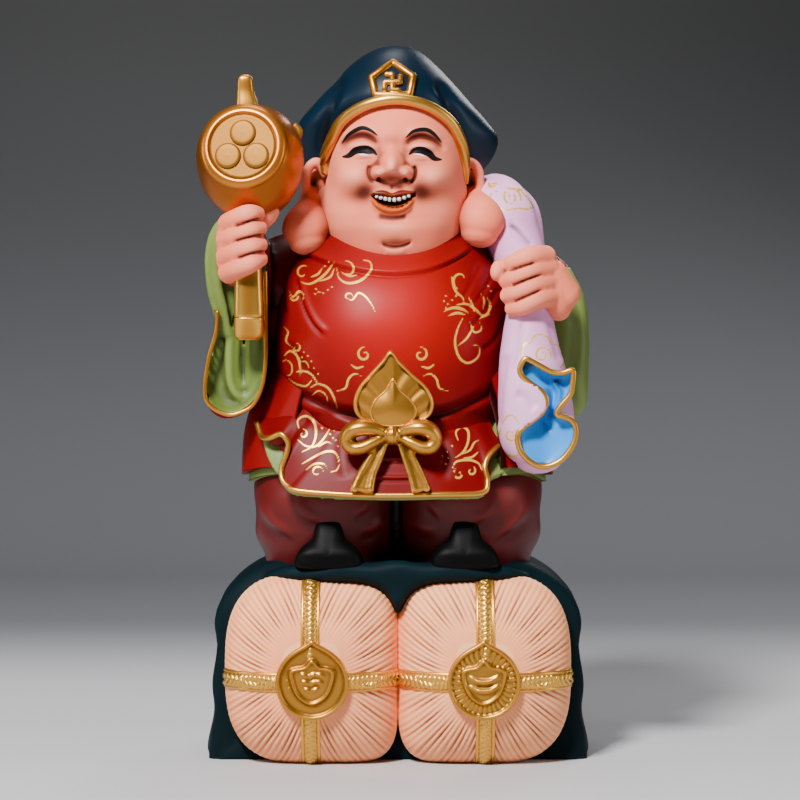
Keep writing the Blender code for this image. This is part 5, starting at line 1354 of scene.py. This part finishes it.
def makeDrape():
    half, top = drapeLook["half"], drapeLook["top"]
    side = [
        (half * 1.028, -4.0), (half * 1.024, 6.0), (half * 0.992, 20.0), (half * 1.0, 34.0),
        (half * 0.972, 50.0), (half * 0.985, 62.0), (half * 0.93, 74.0), (half * 0.80, 83.5),
        (half * 0.64, top - 1.2), (half * 0.42, top), (half * 0.2, top - 0.4),
    ]
    outline = through(side + [(0.0, top - 1.0)] + [(-x, z) for x, z in reversed(side)], 260)
    layers = through([(0.93, 0.94, -24.0), (0.985, 0.985, -20.0), (1.0, 1.0, -12.0), (1.0, 1.0, 35.0),
                      (0.985, 0.985, 49.0), (0.93, 0.94, 55.5), (0.80, 0.84, 57.0)], 90)
    rings = []
    for wide, tall, y in layers:
        z = np.where(outline[:, 1] > 0, outline[:, 1] * tall, outline[:, 1])
        rings.append(np.stack([outline[:, 0] * wide, np.full(260, y), z], 1))
    rings = np.array(rings)
    x, y, z = rings[..., 0], rings[..., 1], rings[..., 2]
    sides = ease(np.abs(x), 60.0, 78.0)
    fold = np.sin(y * 0.19 + z * 0.03) + 0.5 * np.sin(y * 0.43 + 1.0)
    amount = -0.9 * sides * (1 + fold) * ease(86.0 - z, 0.0, 30.0)
    back = ease(y, 44.0, 55.0)
    amount -= 0.9 * back * (1 + np.sin(x * 0.17 + 0.6 * np.sin(z * 0.05))) * ease(86.0 - z, 0.0, 30.0)
    rings = pushed(rings, amount)
    rings[..., 2] = np.maximum(rings[..., 2], 0.0)
    shells = [skinOf(rings)]
    roof = []
    reach = baleLook["spacing"] + baleLook["halfWidth"] * 0.52
    for y, drop, under in through([(-12.0, 2.0, 6.0), (-33.0, 0.6, 6.0), (-38.5, 0.0, 3.0), (-42.0, 2.4, 1.0)], 30):
        x = np.linspace(-reach, reach, 120)
        away = np.minimum(np.abs(np.abs(x) - baleLook["spacing"]) / baleLook["halfWidth"], 0.96)
        sharp = balePower(x)
        over = baleLook["middle"] + baleLook["halfHeight"] * (1 - away**sharp) ** (1 / sharp)
        ahead = y * (1.0 - 0.35 * np.abs(x / reach) ** 5)
        crown = np.maximum(top - 0.4 - drop - 15.0 * np.abs(x / (half * 0.84)) ** 4.5, over + 0.8)
        crown = crown + 0.7 * np.sin(x * 0.24 + y * 0.12) * ease(-ahead, 20.0, 40.0)
        lower = np.stack([x, ahead, over - under], 1)
        roof.append(np.concatenate([lower, np.stack([x, ahead, crown], 1)[::-1]]))
    shells.append(roofShell(np.array(roof)))
    addMelted("cloth", shells, drapeLook["voxel"], 2, "teal", 8)


def roofShell(rings):
    # rings closed by strips between their lower and upper halves
    count, around = rings.shape[:2]
    points = rings.reshape(-1, 3)
    faces = ringFaces(count, around)
    for row, flip in ((0, False), (count - 1, True)):
        for j in range(around // 2 - 1):
            a, b = row * around + j, row * around + j + 1
            c, d = row * around + around - 2 - j, row * around + around - 1 - j
            faces.append((a, b, c, d) if flip else (d, c, b, a))
    return points, faces


# Mallet, hands and sack

malletLook = {"centre": (-65.0, -34.0, 267.0), "radius": 23.7, "disc": 15.2, "axis": (-0.13, -1.0, 0.22)}


def makeMallet():
    look = malletLook
    radius, disc = look["radius"], look["disc"]
    rows = []
    for turn in np.linspace(0.02, 0.735, 50):
        rows.append((-radius * math.cos(math.pi * turn), radius * math.sin(math.pi * turn) ** 0.92))
    face = radius * 0.80
    rows += [(face - 1.2, disc + 4.0), (face - 0.3, disc + 2.4), (face + 0.2, disc + 1.4), (face + 0.4, disc + 0.4),
             (face + 0.1, disc - 0.4), (face - 0.5, disc - 0.8)]
    rows += [(face - 0.6, r) for r in np.linspace(disc - 1.0, 0.2, 12)]
    rings, side, up, ahead = revolved(look["centre"], look["axis"], rows, 120)
    sag = np.minimum(rings[..., 2] - look["centre"][2], 0.0)
    forward = (rings - look["centre"]) @ ahead
    rings[..., 2] += 0.18 * sag * ease(-sag, 0.0, 12.0) * (1 - ease(forward, 4.0, 15.0))
    addShells("malletBarrel", [skinOf(rings)], "copper", 14)
    jewels = []
    for dx, dz in ((0.0, 5.9), (-6.2, -4.4), (6.2, -4.4)):
        at = np.array(look["centre"]) + ahead * (face - 0.9) + side * dx + up * dz
        rows = [(0.0, 5.8), (1.1, 5.75), (1.6, 5.5), (1.9, 5.0), (2.0, 4.4), (1.95, 3.0), (2.1, 0.1)]
        jewels.append(skinOf(revolved(at, look["axis"], rows, 60)[0]))
    rings = [(-0.3, 14.4), (0.15, 14.2), (0.3, 13.6)] + [(0.25, r) for r in np.linspace(13.0, 0.2, 30)]
    at = np.array(look["centre"]) + ahead * (face - 0.5)
    jewels.append(skinOf(revolved(at, look["axis"], rings, 80)[0]))
    ringAt = placed([(295, 126, 1.6), (299, 131, 1.8), (298, 137, 1.6)], -30.0)
    jewels.append(skinOf(swept(ringAt, 12, 14)))
    addShells("malletJewels", jewels, "disc", 8)
    shells = []
    corners = [(-1, -.55), (-.6, -1), (.6, -1), (1, -.55), (1, .6), (.6, 1), (-.6, 1), (-1, .6)]
    for rows in (
        [(286.0, -66.0, -35.0, 5.0, 4.6), (290.5, -66.2, -35.0, 4.7, 4.3), (296.0, -66.8, -35.2, 3.7, 3.4),
         (301.6, -67.0, -35.4, 3.1, 2.9), (303.1, -67.0, -35.4, 2.0, 1.9)],
        [(252.0, -65.6, -41.0, 5.0, 5.0), (214.0, -65.4, -41.0, 5.8, 5.6), (198.6, -65.2, -41.2, 6.3, 5.8),
         (197.2, -65.2, -41.2, 5.6, 5.2), (195.8, -65.2, -41.2, 6.3, 5.7), (189.4, -65.2, -40.0, 6.1, 4.4),
         (187.0, -65.6, -39.4, 4.6, 3.0)],
    ):
        rings = []
        for z, x, y, wide, deep in through(rows, 60):
            ring = evenly([(x + a * wide, y + b * deep) for a, b in corners], 40, True)
            rings.append(np.concatenate([ring, np.full((40, 1), z)], 1))
        shells.append(skinOf(np.array(rings)))
    addShells("malletHandle", shells, "gold", 10)


handLook = {"voxel": 0.64, "gapWide": 1.5, "gapDeep": 0.9, "gapLine": 1.1}


def makeHands():
    shells = []
    fingers = [  # knuckle to tip, in places of the frame
        [(228, 224), (238, 219), (249, 214.5), (258, 213.5)], [(226, 240), (237, 235.5), (250, 230.5), (260.5, 228)],
        [(226, 256), (238, 251.5), (251, 247), (261, 244.5)], [(228, 272), (239, 268), (251, 263.5), (261, 258.5)]]
    for path in fingers:
        rows = placed([(*p, r) for p, r in zip(path, (5.2, 4.7, 4.3, 3.4))], -46.0)
        rows[:, 1] = [-40.0, -48.0, -50.6, -45.6]
        shells.append(skinOf(swept(rows, 26, 36)))
    shells.append(skinOf(egg((-71.0, -38.0, 228.0), (8.6, 10.0, 13.4), 40, 30, -12.0)))
    shells.append(skinOf(swept([(-72.0, -8.0, 213.0, 8.0), (-72.5, -30.0, 223.0, 8.6)], 26, 20)))
    thumb = placed([(258, 222, 4.8), (267, 215, 4.6), (272, 210, 3.8)], -38.0)
    shells.append(skinOf(swept(thumb, 24, 24)))
    hand("handLeft", shells, [[(233, 226.5), (246, 222.4), (262, 217.6)], [(233, 241.6), (248, 237.6), (265, 234)],
                              [(236, 258.6), (250, 254), (266, 250.6)]])
    shells = []
    fingers = [[(507, 266), (518, 261), (531, 256.5), (546, 257)], [(505.5, 281), (518, 276), (532, 270), (549, 268)],
               [(507, 296), (519, 291.5), (533, 285), (550, 281)], [(512, 309), (523, 305.5), (536, 299), (551, 295)]]
    for path in fingers:
        rows = placed([(*p, r) for p, r in zip(path, (3.6, 4.3, 4.7, 5.3))], -44.0)
        rows[:, 1] = [-42.4, -47.4, -47.0, -40.0]
        shells.append(skinOf(swept(rows, 26, 36)))
    shells.append(skinOf(egg((67.0, -35.0, 210.6), (9.0, 9.6, 16.0), 40, 30, -20.0)))
    shells.append(skinOf(swept([(66.0, -37.0, 216.0, 8.0), (72.4, -34.0, 206.0, 8.6)], 26, 14)))
    shells.append(skinOf(egg(atPicture(498, 270.5, -42.0), (3.4, 5.0, 4.8), 28, 20, 12.0)))
    hand("handRight", shells, [[(508, 271), (522, 266.5), (537, 262)], [(509.5, 286.6), (526, 280), (543, 274)],
                               [(511, 303), (527, 296), (543, 289)]])


def hand(name, shells, gaps):
    mesh = melted(name, shells, handLook["voxel"], 4)
    points, normals = pointsOf(mesh), normalsOf(mesh)
    u, v = pictureOf(points)
    front = ease(-points[:, 1], 40.0, 45.0)
    cut = grooves(u, v, [(path, handLook["gapWide"], handLook["gapDeep"]) for path in gaps])
    movePoints(mesh, points - normals * (front * cut)[:, None])
    # painted shade along the gaps between the fingers
    line = strokeField(u, v, [(path, handLook["gapLine"], 0.7) for path in gaps])
    line += np.where(points[:, 1] > -40.0, 9.0, 0.0)
    addPiece(name, mesh, "skin", 24, bareSkin(len(points), line * 0.6 + 0.1))


sackLook = {"around": 144, "levels": 236, "edgeGold": 1.3, "mouthStep": 1.8, "scroll": 1.15}
sackFolds = [([(508, 352), (500, 384), (497, 430)], 5.0, 1.2), ([(522, 318), (516, 345), (512, 372)], 4.0, 1.0),
             ([(549, 318), (556, 345), (560, 362)], 4.0, 0.8), ([(533, 246), (520, 232), (508, 222)], 4.0, 0.9),
             ([(515, 392), (528, 400), (536, 410)], 5.0, 1.4)]
sackRows = [
    (20.0, 34.0, 168.0, 14.0), (21.0, 37.0, 184.0, 25.0), (25.0, 38.0, 206.0, 29.0),
    (33.0, 31.0, 229.0, 25.0), (41.0, 16.0, 244.0, 19.5), (48.0, 2.0, 243.0, 17.0),
    (53.0, -9.0, 229.0, 13.6), (57.4, -26.0, 213.0, 11.0), (58.0, -33.0, 203.0, 10.4),
    (58.0, -35.0, 190.0, 12.8), (58.8, -37.0, 172.0, 16.4), (60.2, -37.0, 154.0, 18.4),
    (61.4, -36.0, 141.0, 16.6), (62.0, -35.0, 134.0, 11.0),
]
mouthEdge = [
    (525, 359), (531, 361), (541, 366.5), (552, 372), (562, 373), (573, 371), (572.6, 386), (570, 395), (560, 407),
    (557, 414.5), (562, 416.5), (571, 420), (575.6, 427), (575.6, 438), (570, 450), (560, 461), (546.5, 466.5),
    (535, 464.5), (525, 457), (519, 447), (518, 435), (524, 427), (535, 419), (543.5, 411), (546.5, 400), (541, 391),
    (531, 384), (522, 376), (520, 368)]


def insideOf(u, v, outline):
    # whether each place lies inside a closed outline of the frame
    odd = np.zeros(u.shape, bool)
    for (a, b), (c, d) in zip(outline, np.roll(outline, -1, 0)):
        crosses = (b > v) != (d > v)
        odd ^= crosses & (u < a + (v - b) / (d - b + 1e-9) * (c - a))
    return odd


def makeSack():
    rings = swept(sackRows, sackLook["around"], sackLook["levels"], 0.9)
    u, v = pictureOf(rings)
    front = ease(-rings[..., 1], 0.0, 16.0)
    amount = -front * grooves(u, v, sackFolds)
    turn = np.arange(sackLook["around"])[None, :] / sackLook["around"] * 2 * math.pi
    share = np.arange(len(rings))[:, None] / len(rings)
    amount = amount + 0.8 * np.cos(turn * 7 + share * 9) * (1 - front) * ease(share, 0.25, 0.45)
    rings = pushed(rings, amount)
    u, v = pictureOf(rings)
    rings[..., 2] = np.where(rings[..., 2] < 134.0, 134.0 - 0.7 * (134.0 - rings[..., 2]), rings[..., 2])
    inside = insideOf(u, v, evenly(mouthEdge, 160, True)) & (rings[..., 1] < -20.0)
    inside &= pathDistance(u, v, list(mouthEdge) + [mouthEdge[0]])[0] > sackLook["mouthStep"]
    rings[..., 1] = np.where(inside, np.maximum(rings[..., 1], -43.0), rings[..., 1])
    mesh = plainMesh("sack", *skinOf(rings))
    points = pointsOf(mesh)
    u, v = pictureOf(points)
    clouds = []
    for centre, size, start, spin in (((511, 197.4), 9, 20, 1), ((492.4, 184.6), 5, 0, 1), ((542.2, 355), 9, 320, 1),
                                      ((511, 435), 7, 60, -1)):
        clouds.append((spiral(*centre, size, 1.5, start, spin), sackLook["scroll"], 0.4))
    for path in (
        [(487, 178.7), (495.5, 177), (504, 179.5)], [(503, 181), (509, 179.5), (516, 184.6)],
        [(515, 187), (521, 190), (526, 195.7), (532, 204), (533, 208.4)], [(534, 207), (526, 209.3), (517.6, 208)],
        [(518, 208), (509, 210), (500.6, 209), (496, 205)], [(492, 192), (490.4, 199), (494.6, 204)],
        [(495.5, 192), (502, 188.6), (511, 188), (519, 193), (521, 201)],
        [(523, 358), (521.4, 348.5), (526, 343.4), (531.4, 342.4)],
        [(531, 343), (533.7, 336.6), (541.3, 334.6), (548, 338), (550.7, 344.3)],
        [(550.4, 344.5), (558.3, 346), (563.4, 352), (565, 360.4), (560, 368)],
        [(502.3, 424), (507.4, 416), (514, 416.5), (519, 424)],
        [(501, 428.4), (498.4, 436.8), (499.4, 445.3)], [(499.4, 444), (504, 453), (514, 456.6), (518.4, 453.8)],
    ):
        clouds.append((path, sackLook["scroll"], 0.35))
    gilt = strokeField(u, v, clouds) + np.where(points[:, 1] > -4.0, 30.0, 0.0)
    for cx, cz in ((30.0, 205.0), (8.0, 230.0), (44.0, 178.0)):
        path = spiral(cx, cz, 7, 1.5, 20, 1)
        rear = strokeField(points[:, 0], points[:, 2], [(path, 0.5, 0.4)]) + np.where(points[:, 1] < 20.0, 30.0, 0.0)
        gilt = np.minimum(gilt, rear * 2.2)
    addPiece("sack", mesh, "lavender", 40, {"gilt": gilt})
    rim = evenly(mouthEdge, 160, True)
    # the inside runs between the two long edges of the mouth, and hollows towards its middle
    rows = 70
    left = evenly([(520, 366), (523.5, 377), (533, 386), (542.5, 393), (545.5, 402), (541, 412), (531, 421),
                   (521, 430), (518.6, 440), (521.6, 451), (528, 459.5), (538, 464.8)], rows)
    right = evenly([(529, 360.5), (541, 366.5), (552, 371.8), (563, 373), (572.6, 372), (572.4, 384), (568, 398),
                    (559, 409), (558.4, 415), (570, 420), (576, 431), (572, 446), (561, 460), (549, 466)], rows)
    across = np.linspace(0.0, 1.0, 60)[None, :, None]
    grid = left[:, None, :] * (1 - across) + right[:, None, :] * across
    bowl = np.sin(np.pi * across[..., 0]) ** 0.6
    y = -52.0 + 5.6 * bowl * (0.55 + 0.45 * np.sin(np.linspace(0.0, math.pi, rows)))[:, None]
    y += groove(grid[..., 0], grid[..., 1], [(538, 374), (551, 388), (553, 404), (546, 420), (552, 432)], 3.6, 2.2)
    y -= groove(grid[..., 0], grid[..., 1], [(552, 378), (560, 392), (556, 408), (556, 422)], 4.2, 2.6)
    face = atPicture(grid[..., 0], grid[..., 1], y)
    back = face.copy()
    back[..., 1] = -41.5
    size = face.shape[0] * face.shape[1]
    faces = ringFaces(rows, 60, 0, False) + [f[::-1] for f in ringFaces(rows, 60, size, False)]
    edge = [(0, j) for j in range(60)] + [(i, 59) for i in range(1, rows)]
    edge += [(rows - 1, j) for j in range(58, -1, -1)] + [(i, 0) for i in range(rows - 2, 0, -1)]
    edge = [i * 60 + j for i, j in edge]
    faces += [(b, a, size + a, size + b) for a, b in zip(edge, edge[1:] + edge[:1])]
    points = np.concatenate([face.reshape(-1, 3), back.reshape(-1, 3)])
    addPiece("sackMouth", plainMesh("sackMouth", points, faces), "sky", 14)
    rows = placed([(a, b, sackLook["edgeGold"]) for a, b in np.concatenate([rim, rim[:1]])], -52.4)
    addShells("sackEdgeGold", [skinOf(swept(rows, 14, 320))], "gold", 5)


makeHead()
makeEars()
makeCap()
print("head made")
makeRobe()
makeSkirt()
makeSleeves()
makeOrnament()
print("robe made")
makeTrousers()
makeClogs()
makeBales()
makeMedals()
makeDrape()
print("plinth made")
makeMallet()
makeHands()
makeSack()
print("held things made")


# Room, lights and camera

roomLook = {"floor": "B8B7BA", "wall": "707175", "top": "0C0D10", "reach": 3.0}


def makeRoom():
    # a pale floor that curves up behind
    reach = roomLook["reach"]
    profile = [(-1.6, 0.0), (0.9, 0.0)] + [(0.9 + 0.5 * math.sin(a), 0.5 - 0.5 * math.cos(a))
                                           for a in np.linspace(0.1, math.pi / 2, 14)] + [(1.4, 2.2)]
    points = [(x, y, z) for y, z in profile for x in (-reach, reach)]
    faces = [(2 * k, 2 * k + 1, 2 * k + 3, 2 * k + 2) for k in range(len(profile) - 1)]
    mesh = bpy.data.meshes.new("room")
    mesh.from_pydata(points, [], faces)
    mesh.shade_smooth()
    floor = bpy.data.objects.new("room", mesh)
    bpy.context.scene.collection.objects.link(floor)
    finish = Finish("roomPaper")
    place = finish.node("TexCoord", "Object", {}, {})
    away = finish.node("SeparateXYZ", "Y", {}, {"Vector": place})
    up = finish.node("SeparateXYZ", "Z", {}, {"Vector": place})
    # painted shade: the paper darkens from the pale floor to the grey wall and to near black at the top
    shade = finish.blend(away.between(0.2, 0.6), tone(roomLook["floor"]), tone(roomLook["wall"]))
    finish.feed("Base Color", finish.blend(up.between(-0.05, 0.5), shade, tone(roomLook["top"])))
    finish.feed("Roughness", 0.6)
    mesh.materials.append(finish.material)


def addLight(name, place, aim, size, watts):
    lamp = bpy.data.lights.new(name, "AREA")
    lamp.shape = "RECTANGLE"
    lamp.size, lamp.size_y = size
    lamp.energy = watts
    thing = bpy.data.objects.new(name, lamp)
    bpy.context.scene.collection.objects.link(thing)
    thing.location = place
    thing.rotation_euler = (Vector(aim) - Vector(place)).to_track_quat("-Z", "Y").to_euler()


def makeCamera():
    view = bpy.data.cameras.new("photoView")
    view.sensor_width = 36.0
    view.lens = camera["zoom"] * view.sensor_width / camera["side"]
    view.clip_start = 0.05
    view.shift_x = (camera["side"] / 2.0 - camera["column"]) / camera["side"]
    thing = bpy.data.objects.new("photoView", view)
    bpy.context.scene.collection.objects.link(thing)
    place = Vector((0.0, -camera["back"] * unit, camera["up"] * unit))
    thing.location = place
    aim = Vector((0.0, 0.0, camera["aim"] * unit))
    thing.rotation_euler = (aim - place).to_track_quat("-Z", "Y").to_euler()
    bpy.context.scene.camera = thing


# place and aim in metres, width and height, watts
lights = {
    "key": ((-0.4, -0.95, 1.1), (0, 0, 0.17), (0.24, 0.24), 49.0),
    "sideLeft": ((-1.1, -0.25, 0.45), (0, 0, 0.17), (0.2, 0.6), 3.0),
    "sideRight": ((1.1, -0.35, 0.4), (0, 0, 0.17), (0.2, 0.6), 3.5),
    "topSoft": ((0.0, 0.3, 1.2), (0, 0, 0.1), (0.4, 0.4), 4.0),
    "rear": ((0.5, 1.0, 0.8), (0, 0, 0.17), (0.3, 0.3), 3.0),
}

makeRoom()
for name, values in lights.items():
    addLight(name, *values)
world = bpy.data.worlds.new("softRoom")
world.use_nodes = True
world.node_tree.nodes["Background"].inputs["Color"].default_value = (0.8, 0.83, 0.88, 1.0)
world.node_tree.nodes["Background"].inputs["Strength"].default_value = 0.025
bpy.context.scene.world = world
makeCamera()
print("room lit")
